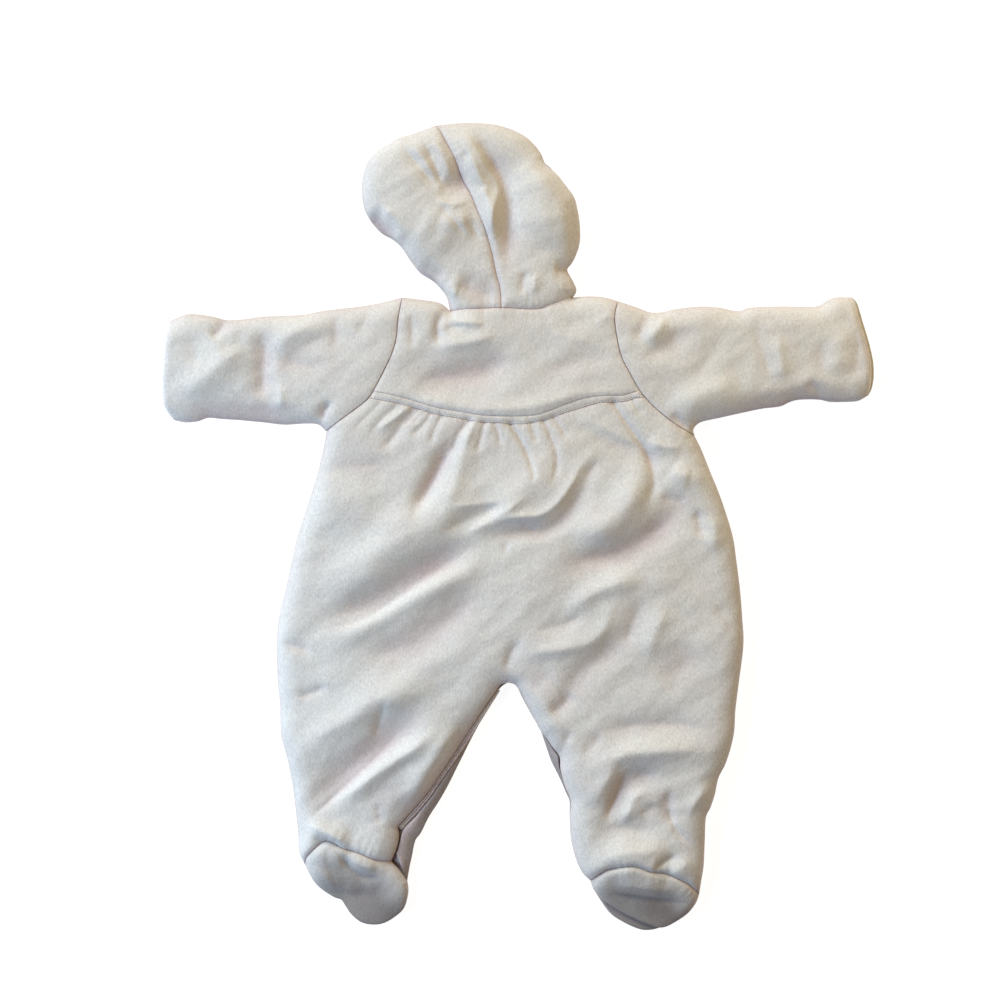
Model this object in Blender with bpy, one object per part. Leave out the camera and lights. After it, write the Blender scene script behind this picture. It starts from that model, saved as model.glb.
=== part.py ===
"""A padded baby snowsuit with a hood and closed feet, laid out on its front with its back up.

The frame: +Y points to the hood, +Z up from the table, and +X to the wearer's right, which
lies at the right when the suit is seen from above. The origin is on the table, under the
middle of the suit. Tables give millimetres; meshes are made in metres.

The suit is two padded layers. The front layer rests on the table, the back layer lies on it,
the sleeves are flat tubes beside them, and the hood is a bowl turned under at its brim.
"""

from collections import namedtuple

import bmesh
import bpy
import numpy as np

MM = 0.001

# Thicknesses and heights, in millimetres above the table
FRONT_LOFT = 9.7
LAYER_GAP = 0.4
BACK_FLOOR = FRONT_LOFT + LAYER_GAP
EDGE_HEIGHT = 12.5
BACK_LOFT = 24.0
LOWEST_TOP = 14.0

# Seams: neighbours stand this far apart, and the padding is pulled down beside the stitches
SEAM_GAP = 0.3
SEAM_DIP = 3.5
SEAM_SPREAD = 5.0

# Rounding of the free edges, measured inwards from the outline
EDGE_ROUND = 19.0
UNDER_ROUND = 9.0
CUFF_ROUND = 5.0
EDGE_STEPS = (0.0, 0.9, 3.2, 7.0, 12.0)
UNDER_STEPS = (0.0, 0.6, 2.5, 5.5, 9.0)
SEAM_STEPS = (0.0, 2.0, 5.0, 10.0)
NECK_STEPS = (0.0, 1.2, 4.0, 9.0)
HEEL_STEPS = (0.0, 2.0, 5.0)
CENTRE_STEPS = (0.0, 7.0, 14.0, 21.0, 28.0)
RIM_TUCK = 1.2

# Folds narrower than this are widened and made lower, by this power of the widening
LEAST_WIDTH = 9.0
LEAST_GATHER = 4.0
WIDENING = 0.6

# Narrow folds are sharp along their middles and broad ones are round
SHARP_WIDTH, SHARP = 4.0, 1.3
ROUND_WIDTH, ROUND = 12.0, 2.0

# How far a fold fades out at its ends: how much, how long for its width, and over what share
END_FADE = 0.95
END_LENGTH = 0.3
END_SHARE = 0.35

# How softly the lowest creases level out
LEVELLING = 2.0

# How far the soles drop from heel to toe, over what length, and how the drop grows
SOLE_FALL = 19.0
SOLE_REACH = 62.0
SOLE_CURVE = 1.2

# Sleeve openings and the hood's turned-under brim
SLIT = 0.3
SLIT_INSET = 9.0
SLIT_ROWS = (0.03, 0.25, 0.5, 0.7, 0.82, 0.92, 1.0)
SLEEVE_GAP = 0.45
HOOD_WALL = 9.5
HOOD_LIFT = 9.0
BRIM_TOP = 9.3
HOOD_FLOOR = 9.9
HEM_ROUND = 1.8
HOOD_SHIFT = 34.0
HOOD_RISE = (16.0, 48.0)
HOOD_LEAST = 5.0

# A sharp corner moves inwards by no more than this many times the amount at a straight edge
LEAST_CORNER = 0.35

# The hood's outline from the neck to the corner where the crown begins, as a share of it
HOOD_CORNER = {"left": 0.66, "right": 0.60}

# The soles' two corners, cut short: shares of the outer edge and of the heel seam
SOLE_ENDS = {"left": (0.035, 0.045), "right": (0.045, 0.045)}

# Points closer than these, in millimetres, are one point
WELD = 0.01
FINE_WELD = 0.001

# Creases between faces sharper than this, in radians, are shaded as edges
SHARP_ANGLE = 0.9

# Faces that look up at least this much get their diagonals along the folds
UPWARD = 0.3

# Narrow bands
FRONT_BAND_HALF = 9.3
CENTRE_X = -9.2
LEG_BAND_INNER = 13.2
LEG_BAND_OUTER = 11.6

PINK = (0.80, 0.70, 0.69)
BAND_PINK = (0.82, 0.68, 0.68)
ROUGHNESS = 0.92

# Outlines and seams as seen from above: each row is a line through (x, y) places
ROUTES = {
    "left side upper": ((-169, 84), (-172, 68), (-177, 47), (-186, 18), (-195, -10), (-200, -32),
                        (-205, -55), (-211, -80), (-213, -104), (-212, -137)),
    "left side lower": ((-212, -137), (-210, -157), (-209, -183), (-204, -202), (-199, -227),
                        (-196, -251), (-194, -271), (-193, -286), (-188, -297)),
    "right side upper": ((155, 80), (161, 68), (169, 48), (176, 31), (183, 11), (189, -10),
                         (192, -31), (195, -55), (197, -80), (198, -104), (194, -137)),
    "right side lower": ((194, -137), (191, -161), (190, -179), (187, -194), (182, -209),
                         (176, -221), (173, -235), (169, -247), (165, -256), (164, -277),
                         (163, -298), (161, -311), (159, -323)),
    "left armhole": ((-102, 202), (-105, 184), (-107, 165), (-111, 151), (-118, 136), (-126, 121),
                     (-131, 113), (-139, 106), (-154, 95), (-169, 84)),
    "right armhole": ((87, 199), (84, 184), (86, 166), (90, 149), (97, 135), (105, 121),
                      (111, 113), (123, 101), (139, 89), (155, 80)),
    "left shoulder": ((-102, 202), (-85, 200), (-69, 197), (-60, 190)),
    "right shoulder": ((48, 202), (63, 203), (76, 202), (87, 199)),
    "neck": ((-60, 190), (-43, 191), (-15, 192), (15, 191), (29, 195), (48, 202)),
    "band top": ((-127, 119), (-104, 114), (-87, 109), (-69, 104), (-51, 101), (-34, 98),
                 (-16, 97), (1, 97), (15, 98), (28, 102), (38, 106), (52, 111), (65, 114),
                 (77, 115), (89, 115), (98, 117), (106, 120)),
    "band low": ((-131, 113), (-104, 108), (-87, 103), (-69, 98), (-51, 95), (-34, 92),
                 (-16, 91), (1, 90), (15, 92), (28, 95), (38, 99), (54, 104), (72, 109),
                 (81, 109), (94, 110), (103, 113), (111, 113)),
    "centre back": ((-9, 90.6), (-9, 20), (-9, -60), (-9, -137)),
    "left leg inner": ((-9, -137), (-15.5, -139), (-23, -149), (-33, -163.5), (-45, -182.5),
                       (-54, -196), (-67, -215.5), (-75, -227.5), (-83, -238.5), (-93, -250),
                       (-100, -257.5), (-106, -264)),
    "left ankle": ((-106, -264), (-105, -272), (-107, -282), (-112, -294)),
    "right leg inner": ((-9, -137), (-2, -140), (7, -156), (19, -179), (24, -185), (30, -194),
                        (36, -202), (37, -214), (41, -228), (46, -241), (45, -256),
                        (46, -274), (50, -291), (56, -304), (63, -311)),
    "leg band outer": ((-16, -144), (-27, -161.5), (-41, -184), (-50, -198), (-63.5, -217.5),
                       (-71.5, -229.5), (-79, -240), (-89.5, -252.5), (-97, -260),
                       (-103, -267)),
    "left leg front": ((-9, -137), (-16, -142), (-24, -154), (-33, -171), (-41, -186),
                       (-48, -200), (-55, -214), (-62, -228), (-70, -242), (-79, -256),
                       (-86, -270), (-91, -277), (-94, -291), (-96, -300), (-98, -312)),
    "right leg front": ((-9, -137), (-2, -140), (3, -150), (11, -165), (19, -179), (24, -193),
                        (29, -207), (36, -221), (42, -235), (45, -242), (45, -256), (46, -270),
                        (49, -284), (54, -298), (63, -311)),
    "left heel": ((-188, -297), (-186, -290), (-181, -284), (-173, -277), (-166, -275),
                  (-154, -281), (-139, -286), (-125, -292), (-112, -294)),
    "left sole inner": ((-112, -294), (-107, -299), (-103, -304), (-98, -312)),
    "left toe": ((-188, -297), (-184, -305), (-180, -312), (-173, -319), (-162, -326),
                 (-156, -328), (-152, -334), (-147, -341), (-138, -348), (-127, -350),
                 (-117, -348), (-106, -341), (-100, -334), (-97, -322), (-98, -312)),
    "right heel": ((63, -311), (72, -304), (79, -300), (93, -297), (103, -297), (117, -302),
                   (130, -304), (147, -312), (159, -323)),
    "right toe": ((63, -311), (66, -319), (72, -329), (81, -341), (93, -349), (107, -355),
                  (117, -355.5), (126, -353), (139, -347), (149, -340), (156, -331), (159, -323)),
    "right sole edge": ((63, -311), (66, -319), (73, -327), (83, -334), (95, -341), (108, -347),
                        (121, -352), (129, -352), (139, -347), (149, -340), (156, -331),
                        (159, -323)),
    "left sleeve top": ((-307, 181), (-293, 187), (-282, 187), (-268, 185), (-256, 182),
                        (-240, 183), (-226, 185), (-201, 186), (-187, 187), (-173, 190),
                        (-157, 192), (-139, 194), (-122, 197), (-102, 202)),
    "left sleeve low": ((-303, 94), (-293, 92), (-282, 93), (-273, 96), (-261, 95), (-245, 94),
                        (-235, 93), (-224, 92), (-206, 90), (-187, 91), (-176, 90), (-169, 84)),
    "left cuff": ((-307, 181), (-310, 169), (-312, 154), (-313.5, 129), (-313, 112), (-310, 103),
                  (-303, 94)),
    "right sleeve top": ((294, 202), (279, 202), (271, 199), (261, 194), (230, 194), (204, 193),
                         (193, 190), (177, 193), (161, 194), (140, 192), (126, 189), (116, 189),
                         (105, 193), (96, 196), (87, 199)),
    "right sleeve low": ((308, 116), (299, 111), (288, 110), (274, 110), (264, 112), (248, 112),
                         (239, 110), (230, 106), (214, 104), (195, 100), (177, 96), (160, 92),
                         (154, 86), (155, 80)),
    "right cuff": ((294, 202), (297, 195), (300, 182), (305, 166), (308, 154), (310, 143),
                   (310, 129), (309, 121), (308, 116)),
    "right cuff under": ((294, 202), (298.5, 196), (302.5, 182), (307.5, 166), (310.5, 154),
                         (312.5, 143), (312.5, 129), (310.5, 121), (308, 116)),
    "hood right": ((48, 202), (51, 208), (48, 216), (44, 223), (43, 227), (47, 232), (51, 240),
                   (54, 251), (54, 265), (52, 279), (49, 290), (42, 300), (33, 311), (24, 319),
                   (20, 328), (15, 335), (8, 342), (-2, 348), (-16, 353), (-29, 355),
                   (-43, 355.5), (-56, 355), (-73, 353)),
    "hood left": ((-60, 190), (-63, 202), (-68, 209), (-75, 216), (-86, 223), (-92, 230),
                  (-97, 237), (-103, 246), (-111, 253), (-120, 258), (-127, 265), (-132, 272),
                  (-136, 281), (-138, 295), (-137, 307), (-133, 320), (-127, 328), (-117, 335),
                  (-105, 342), (-95, 345), (-81, 350), (-73, 353)),
    "hood seam": ((-15, 192), (-16, 209), (-19, 220), (-23, 239), (-29, 260), (-36, 277),
                  (-42, 292), (-49, 305), (-56, 323), (-64, 338), (-69, 348), (-73, 353)),
    "brim right": ((32, 203), (30, 211), (30, 218), (33, 232), (38, 247), (40, 262), (38, 278),
                   (30, 292), (16, 302), (4, 312), (-10, 321), (-26, 322), (-42, 322),
                   (-55, 320)),
    "brim left": ((-46, 193), (-50, 206), (-58, 219), (-72, 230), (-86, 242), (-98, 256),
                  (-112, 267), (-120, 277), (-123, 292), (-119, 306), (-106, 312), (-92, 317),
                  (-76, 319), (-55, 320)),
    "front neckline": ((-60, 190), (-54, 178), (-38, 163), (-9, 156), (19, 163), (38, 180),
                       (48, 202)),
}

LINE_STEPS = 14

# Cross rows of the back panel from the crotch to the ankle
LEG_ROWS = 14

# A place this near a line counts as on it
ON_LINE = 0.02

Fold = namedtuple("Fold", "name rise width route")

# Folds, puffs and gathers of the cloth: how far each rises (or sinks), its half width, its route
FOLDS = (
    # gathers below the yoke band
    Fold("gather 1", -1.0, 3, ((-122, 108), (-134, 96), (-146, 84))),
    Fold("gather 2", -1.3, 3, ((-108, 105), (-120, 94), (-132, 80))),
    Fold("gather 3 ridge", 1.6, 3, ((-98, 103), (-110, 94), (-124, 85))),
    Fold("gather 3", -3.0, 5, ((-93, 102), (-101, 93), (-108, 81), (-122, 64))),
    Fold("gather 4", -1.4, 2.5, ((-87, 103), (-95, 95), (-101, 87))),
    Fold("gather 5", -1.0, 2.5, ((-82, 101), (-90, 94), (-95, 88))),
    Fold("gather 6", -1.8, 4, ((-77, 99), (-84, 89), (-95, 78))),
    Fold("gather 7", -1.6, 3, ((-68, 96), (-74, 84), (-77, 70))),
    Fold("gather 8", -3.0, 4, ((-44, 92), (-51, 84), (-56, 73), (-59, 60))),
    Fold("gather 8 ridge", 1.8, 4, ((-38, 92), (-44, 80), (-48, 66))),
    Fold("gather 9", -2.0, 3, ((-30, 91), (-33, 79), (-37, 62))),
    Fold("gather 10", -1.6, 2.5, ((-21, 90), (-17, 80), (-16, 70))),
    Fold("gather 11", -2.6, 2.6, ((-7, 90), (1, 78), (9, 61), (13, 46), (12, 33))),
    Fold("gather 12", -1.6, 2.6, ((11, 91), (14, 81), (17, 72))),
    Fold("gather 13", -2.0, 3, ((22, 93), (28, 80), (33, 66), (33, 50), (26, 34))),
    Fold("gather 14", -1.6, 3, ((30, 96), (38, 86), (44, 76))),
    Fold("gather 15", -2.4, 2.8, ((83, 109), (93, 94), (106, 75), (113, 64), (117, 52), (118, 36))),
    Fold("gather 16", -1.2, 3, ((98, 113), (104, 104), (112, 97))),
    # back, left half
    Fold("chest trough", -6.4, 8.2, ((-57, 88), (-67, 60), (-79, 36), (-88, 18), (-95, 0))),
    Fold("chest ridge", 2.5, 8.8, ((-44, 84), (-51, 54), (-61, 24), (-74, 6))),
    Fold("side trough high", -2.2, 9, ((-180, 44), (-150, 52), (-106, 56))),
    Fold("side ridge high", 2.6, 17, ((-186, 14), (-150, 18), (-112, 20))),
    Fold("waist shelf", 5.8, 23, ((-16, 30), (-58, 15), (-98, -8), (-132, -36), (-166, -62),
            (-190, -78))),
    Fold("waist trough", -8.4, 14.5, ((-30, -6), (-56, -21), (-90, -43), (-120, -62), (-148, -77),
            (-178, -92))),
    Fold("waist ridge", 6.2, 11, ((-26, -26), (-50, -41), (-72, -51), (-96, -64), (-122, -79),
            (-152, -93), (-182, -101))),
    Fold("hip trough", -6.0, 15, ((-14, -56), (-46, -70), (-78, -92), (-112, -110), (-148, -121))),
    Fold("hip wrinkle", -2.6, 5, ((-208, -101), (-194, -105), (-180, -111))),
    Fold("hip wrinkle low", -2.4, 5, ((-196, -148), (-182, -146), (-166, -138))),
    Fold("pocket trough", -3.0, 7, ((-8, 22), (-30, 14), (-52, 3), (-70, -8))),
    Fold("pocket ridge", 2.6, 4.5, ((10, 30), (-5, 18), (-22, 7), (-40, -4), (-48, -13))),
    Fold("pocket lip", 1.8, 4, ((-8, 23), (-34, 20), (-62, 17))),
    # back, middle
    Fold("chest shelf", 4.2, 16, ((22, 68), (12, 42), (-8, 24), (-30, 12))),
    Fold("centre ridge", 3.6, 5, ((68, 66), (55, 53), (45, 36), (34, 21), (20, 11), (4, 9),
            (-12, 7), (-26, 0), (-38, -9))),
    Fold("centre crease", -5.0, 8, ((74, 57), (62, 44), (53, 28), (42, 11), (24, -2), (2, -4),
            (-20, -9), (-34, -17))),
    Fold("centre tuck", -1.4, 3.5, ((72, 60), (63, 50), (57, 42))),
    Fold("centre slit", -1.6, 2.4, ((3, 5), (9, -1), (17, -4))),
    Fold("centre slit low", -1.4, 2.2, ((-11, -12), (-12, -26))),
    Fold("centre bulge", 8.0, 15.5, ((102, 58), (103, 38), (95, 19), (80, 5), (62, -5), (42, -12))),
    Fold("seat trough", -6.4, 11, ((150, 27), (137, 12), (122, -2), (104, -14), (84, -23),
            (60, -29), (36, -36))),
    Fold("seat ridge", 4.2, 9.9, ((112, -42), (86, -49), (62, -60), (38, -78))),
    Fold("seat trough low", -2.9, 6, ((58, -66), (50, -80), (30, -88), (8, -92))),
    Fold("seat ridge low", 4.8, 8.8, ((79, -60), (77, -85), (62, -101), (36, -107), (12, -110),
            (1, -124))),
    Fold("crotch crease", -3.8, 5, ((-12, -130), (-7, -112), (2, -96))),
    Fold("crotch hollow", -2.5, 10, ((34, -126), (18, -136), (6, -146))),
    Fold("thigh fall right", -4.0, 12, ((96, -84), (74, -112), (52, -132), (34, -160))),
    # back, right half
    Fold("yoke hollow right", -4.2, 7.5, ((40, 86), (56, 85), (74, 78), (92, 71), (110, 64),
            (122, 57), (140, 57), (155, 66))),
    Fold("yoke ridge right", 2.9, 5, ((44, 97), (72, 88), (92, 78), (106, 71), (116, 60))),
    Fold("armhole ridge right", 2.2, 5, ((112, 77), (128, 70), (144, 71))),
    Fold("side trough right", -2.4, 5, ((98, 80), (112, 66), (118, 48), (117, 32), (108, 14))),
    Fold("chest bump right", 3.4, 10, ((133, 52), (142, 46), (152, 44))),
    Fold("chest dent right", -2.2, 7, ((124, 30), (136, 23), (150, 26))),
    Fold("flank trough right", -2.4, 5, ((156, 18), (158, 4), (162, -12))),
    Fold("flank ridge right", 2.5, 7.7, ((172, 12), (172, -6), (168, -24))),
    Fold("thigh trough right", -3.4, 7.7, ((112, -62), (99, -86), (95, -110))),
    Fold("thigh ridge right", 4.4, 9, ((132, -66), (119, -92), (113, -118))),
    Fold("thigh hollow right", -4.0, 14, ((148, -96), (142, -120), (122, -142))),
    Fold("thigh dent right", -1.4, 6, ((170, -66), (182, -80), (186, -96))),
    # left leg
    Fold("thigh arc", 5.6, 14.3, ((-70, -129), (-104, -144), (-128, -152), (-152, -170),
            (-172, -184), (-190, -210))),
    Fold("thigh trough", -6.4, 13.2, ((-76, -152), (-100, -174), (-125, -194), (-150, -216),
            (-174, -236), (-192, -250))),
    Fold("thigh line", -2.6, 3.4, ((-100, -174), (-118, -195), (-135, -212), (-159, -234),
            (-188, -260))),
    Fold("thigh ridge", 5.6, 8.8, ((-60, -166), (-84, -188), (-106, -203), (-130, -219),
            (-152, -236), (-172, -250))),
    Fold("thigh furrow", -2.2, 5, ((-116, -150), (-121, -168), (-127, -188))),
    Fold("shin slot", -1.6, 8, ((-85, -197), (-108, -215), (-124, -231), (-140, -240))),
    Fold("shin ridge", 4.2, 9.9, ((-50, -170), (-70, -200), (-88, -228), (-102, -250))),
    Fold("inner leg fall", -6.4, 16, ((-20, -150), (-46, -192), (-74, -232), (-98, -262),
            (-110, -288))),
    Fold("ankle notch", -1.3, 4.5, ((-125, -240), (-122, -252), (-121, -264))),
    Fold("heel ridge", 3.6, 7.5, ((-190, -258), (-176, -263), (-160, -271), (-146, -279))),
    Fold("ankle hollow", -3.6, 5, ((-183, -272), (-168, -275), (-152, -281))),
    Fold("heel rise left", 4.0, 20, ((-182, -284), (-164, -287), (-146, -290))),
    Fold("sole puff", 3.0, 8, ((-178, -298), (-168, -308), (-152, -319), (-134, -323))),
    Fold("sole fold", -5.0, 4.2, ((-161, -281), (-150, -295), (-137, -306), (-118, -307))),
    Fold("sole lobe left", 2.6, 6, ((-150, -289), (-136, -296), (-122, -299))),
    Fold("sole fold low", -2.0, 5, ((-166, -320), (-146, -324), (-128, -322))),
    # right leg
    Fold("knee trough right", -3.1, 8.8, ((60, -186), (82, -178), (120, -173), (176, -176))),
    Fold("knee ridge right", 5.9, 9.9, ((50, -216), (78, -203), (104, -197), (140, -195),
            (180, -196))),
    Fold("knee crease right", -3.9, 7.7, ((50, -144), (39, -155), (26, -166))),
    Fold("knee tuck right", -2.2, 5, ((46, -176), (40, -190), (36, -204))),
    Fold("knee slot right", -1.9, 7, ((74, -178), (64, -192), (54, -200))),
    Fold("shin shelf right", 3.9, 8.8, ((90, -204), (81, -214), (73, -230), (62, -247))),
    Fold("shin valley right", -7.0, 9.4, ((134, -216), (106, -219), (91, -230), (83, -245),
            (75, -263))),
    Fold("shin ridge right", 3.6, 6, ((118, -232), (103, -236), (97, -248), (88, -262))),
    Fold("shin dimple right", -1.4, 6, ((119, -240), (114, -248), (104, -252))),
    Fold("ankle trough right", -2.4, 7, ((134, -226), (130, -246), (136, -264))),
    Fold("ankle bump right", 3.1, 6, ((170, -224), (155, -240), (148, -256))),
    Fold("ankle crease right", -1.6, 3.5, ((132, -258), (140, -270), (150, -284))),
    Fold("ankle ridge right", 3.6, 8.8, ((64, -297), (90, -285), (114, -283), (134, -279))),
    Fold("ankle low trough right", -2.5, 8.8, ((62, -266), (88, -264), (122, -267))),
    Fold("heel pucker right", -3.4, 4, ((116, -302), (126, -294), (141, -286))),
    Fold("heel bump right", 1.8, 6, ((132, -305), (142, -298), (152, -290))),
    Fold("heel rise right", 6.0, 20, ((78, -300), (104, -298), (134, -304))),
    Fold("sole puff right", 2.2, 7, ((84, -312), (112, -317), (140, -318))),
    Fold("sole fold right", -3.0, 5, ((76, -322), (98, -323), (120, -327), (150, -331))),
    # left sleeve
    Fold("cuff crease left", -4.1, 5, ((-256, 184), (-261, 174), (-270, 164))),
    Fold("cuff dent left", -1.3, 8.1, ((-286, 168), (-284, 152), (-288, 140))),
    Fold("sleeve ridge low left", 5.6, 12, ((-306, 112), (-286, 122), (-266, 136), (-250, 150),
            (-232, 160))),
    Fold("sleeve trough left", -5.0, 9, ((-228, 176), (-223, 158), (-224, 140), (-224, 122),
            (-226, 106))),
    Fold("sleeve dent left", -1.3, 8.1, ((-264, 158), (-248, 160), (-236, 166))),
    Fold("elbow ridge left", 3.0, 10, ((-222, 152), (-204, 165), (-186, 175), (-167, 186))),
    Fold("elbow trough left", -2.1, 9, ((-214, 142), (-199, 150), (-184, 160), (-164, 171))),
    Fold("upper arm trough left", -2.0, 6.8, ((-161, 190), (-160, 170), (-163, 152))),
    Fold("lower arm trough left", -1.7, 6.8, ((-216, 140), (-200, 143), (-184, 141), (-164, 143))),
    Fold("lower arm streak left", 1.7, 5.4, ((-209, 126), (-208, 114), (-209, 102))),
    Fold("sleeve fall left", -6.0, 15, ((-304, 96), (-270, 96), (-230, 95), (-180, 93))),
    Fold("shoulder dent left", -1.7, 5.4, ((-128, 192), (-135, 180), (-143, 168))),
    Fold("underarm pucker left", -4.5, 4, ((-171, 91), (-171, 101), (-163, 110))),
    # right sleeve
    Fold("shoulder furrow right", -2.6, 6.8, ((116, 189), (108, 174), (103, 160))),
    Fold("shoulder ridge right", 3.6, 6.8, ((130, 186), (121, 172), (110, 160))),
    Fold("shoulder trough right", -2.7, 8.1, ((141, 180), (134, 164), (120, 153), (104, 149))),
    Fold("sleeve ridge right", 3.7, 11.9, ((134, 99), (150, 110), (174, 120), (198, 123))),
    Fold("sleeve trough right", -2.2, 10.4, ((154, 180), (144, 166), (136, 152), (130, 140))),
    Fold("arm furrow right", -1.4, 6.8, ((180, 168), (172, 156), (160, 138), (146, 128))),
    Fold("elbow trough right", -1.5, 6.1, ((207, 186), (210, 165), (216, 146), (222, 120))),
    Fold("elbow ridge right", 2.1, 6.8, ((227, 172), (229, 146), (235, 124))),
    Fold("forearm trough right", -1.5, 8.1, ((262, 166), (266, 148), (265, 126))),
    Fold("cuff trough right", -1.3, 6.1, ((294, 180), (297, 156), (294, 126))),
    Fold("cuff ridge right", 1.9, 10.4, ((278, 180), (281, 156), (276, 130))),
    Fold("cuff notch right", -2.3, 5, ((265, 111), (261, 121), (250, 126))),
    Fold("sleeve fall right", -4.2, 8.8, ((170, 98), (226, 108), (300, 113))),
    Fold("underarm pucker right", -3.6, 5, ((150, 84), (142, 92), (132, 100))),
    # yoke
    Fold("neck trough left", -3.4, 3.8, ((-62, 192), (-70, 181), (-71, 169), (-67, 157))),
    Fold("shoulder trough left", -2.0, 4, ((-96, 190), (-93, 172), (-94, 154))),
    Fold("neck ridge", 1.6, 4, ((-64, 181), (-46, 179), (-28, 178))),
    Fold("neck hollow", -2.6, 3.6, ((-66, 173), (-56, 175), (-46, 175))),
    Fold("yoke ridge", 3.4, 7, ((-76, 155), (-56, 160), (-36, 163), (-16, 171))),
    Fold("yoke trough", -4.4, 12.5, ((-100, 126), (-64, 131), (-38, 135), (-16, 145), (-2, 160))),
    Fold("yoke ridge far", 1.6, 8.8, ((18, 172), (48, 165), (82, 160))),
    Fold("yoke trough far", -1.8, 9.5, ((8, 134), (38, 141), (62, 147), (86, 149))),
    Fold("band ridge", 1.2, 6, ((-116, 120), (-80, 112), (-45, 105), (0, 104), (30, 110),
            (60, 118), (102, 120))),
    Fold("shoulder streak far", 1.4, 4, ((66, 176), (74, 182), (83, 190))),
    # hood
    Fold("hood fold", 5.5, 8, ((-54, 350), (-42, 325), (-32, 300), (-25, 280), (-23, 258),
            (-20, 240))),
    Fold("hood valley", -6.5, 8.5, ((-42, 353), (-28, 325), (-14, 300), (-9, 270), (-10, 240),
            (-12, 218))),
    Fold("hood strip edge", 2.4, 3.6, ((-52, 352), (-40, 334), (-28, 315), (-18, 298), (-21, 280),
            (-23, 263), (-16, 236))),
    Fold("hood hollow", -6.2, 11, ((-66, 306), (-54, 300), (-42, 303))),
    Fold("hood hollow fall", -2.2, 8, ((-58, 326), (-52, 310), (-46, 298))),
    Fold("hood step", 5.0, 12, ((-70, 272), (-54, 267), (-38, 268))),
    Fold("hood lip", 2.2, 3.6, ((-75, 288), (-60, 282), (-43, 285))),
    Fold("hood pleat trough", -2.6, 4, ((-86, 341), (-76, 323), (-69, 305), (-62, 291))),
    Fold("hood pleat ridge", 2.2, 4.5, ((-77, 344), (-67, 326), (-60, 309), (-55, 297))),
    Fold("hood far pleat trough", -2.6, 4.5, ((-106, 336), (-93, 323), (-80, 307), (-71, 292))),
    Fold("hood far pleat ridge", 2.0, 4.5, ((-98, 339), (-86, 325), (-76, 311), (-69, 298))),
    Fold("hood dome left", 4.5, 32, ((-104, 312), (-92, 290))),
    Fold("hood lobe", 3.6, 18, ((-92, 266), (-74, 256), (-56, 246))),
    Fold("hood base fall", -5.0, 13, ((-58, 214), (-36, 206), (-14, 204))),
    Fold("hood dome right", 6.5, 27, ((-2, 325), (16, 300), (24, 268), (20, 240))),
    Fold("hood curl", -6.5, 8.5, ((-134, 274), (-119, 261), (-110, 249))),
    Fold("hood curl line", -2.2, 2.6, ((-118, 276), (-109, 265), (-106, 250))),
    Fold("hood curl edge", 3.0, 5, ((-122, 284), (-112, 271), (-106, 257), (-102, 247))),
    Fold("hood low trough", -2.8, 7.5, ((-88, 231), (-76, 223), (-64, 217))),
    Fold("hood neck bump", 4.0, 8, ((-66, 208), (-52, 203))),
    Fold("hood neck tuck", -2.4, 3, ((-62, 204), (-61, 190))),
    Fold("hood wrinkle low", -2.0, 3.5, ((-70, 282), (-56, 267), (-44, 252))),
    Fold("hood wrinkle seam", -1.6, 3.5, ((-50, 272), (-40, 262), (-34, 250))),
    Fold("hood strip pucker", -1.6, 3.5, ((-50, 328), (-42, 322))),
    Fold("hood strip pucker low", -1.8, 4, ((-38, 300), (-28, 296))),
    Fold("hood furrow right", -2.2, 4.5, ((8, 226), (4, 214), (2, 202))),
    Fold("hood ridge right", 1.8, 5, ((16, 224), (14, 212), (13, 203))),
    Fold("hood edge furrow", -2.0, 2.6, ((42, 292), (48, 270), (47, 246), (41, 227))),
    Fold("hood notch right", -3.5, 5, ((30, 226), (40, 225), (50, 227))),
)


# ---------------------------------------------------------------- lines on the plan


def smooth_line(places):
    """A fine smooth curve through the places, with the places on it."""
    knots = np.array(places, float)
    before = 2 * knots[:1] - knots[1:2]
    after = 2 * knots[-1:] - knots[-2:-1]
    ends = np.vstack((before, knots, after))
    t = np.linspace(0, 1, LINE_STEPS, endpoint=False)[:, None]
    runs = []
    for a, b, c, d in zip(ends, ends[1:], ends[2:], ends[3:]):
        runs.append(b + 0.5 * t * (c - a + t * (2 * a - 5 * b + 4 * c - d + t * (3 * b - a - 3 * c + d))))
    return np.vstack(runs + [knots[-1:]])


def along(line, fractions):
    """Places on a line at fractions of its length."""
    reach = np.concatenate(([0], np.cumsum(np.hypot(*np.diff(line, axis=0).T))))
    wanted = np.asarray(fractions) * reach[-1]
    return np.stack([np.interp(wanted, reach, line[:, axis]) for axis in (0, 1)], axis=-1)


def length(line):
    return float(np.hypot(*np.diff(line, axis=0).T).sum())


def stretch(line, start, end):
    """The part of a line between two fractions of its length, which may run backwards."""
    steps = np.linspace(start, end, 8 * LINE_STEPS)
    return along(line, steps)


def nearest_fraction(line, place):
    """Where on a line its nearest point to a place lies."""
    return float(distance_to(np.array([place], float), line)[1][0])


def distance_to(places, line):
    """How far places lie from a line, and at what fraction of the line's length they do."""
    start = line[:-1]
    step = np.diff(line, axis=0)
    size = np.maximum((step**2).sum(1), 1e-12)
    reach = np.concatenate(([0], np.cumsum(np.sqrt(size))))
    best = np.full(len(places), np.inf)
    fraction = np.zeros(len(places))
    for index in range(len(start)):
        offset = places - start[index]
        t = np.clip(offset @ step[index] / size[index], 0, 1)
        gap = np.hypot(*(offset - t[:, None] * step[index]).T)
        closer = gap < best
        best[closer] = gap[closer]
        fraction[closer] = (reach[index] + t[closer] * np.sqrt(size[index])) / reach[-1]
    return best, fraction


LINES = {name: smooth_line(places) for name, places in ROUTES.items()}
HEELS = {"left": np.vstack((LINES["left heel"], LINES["left sole inner"][1:])),
         "right": LINES["right heel"]}

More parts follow.
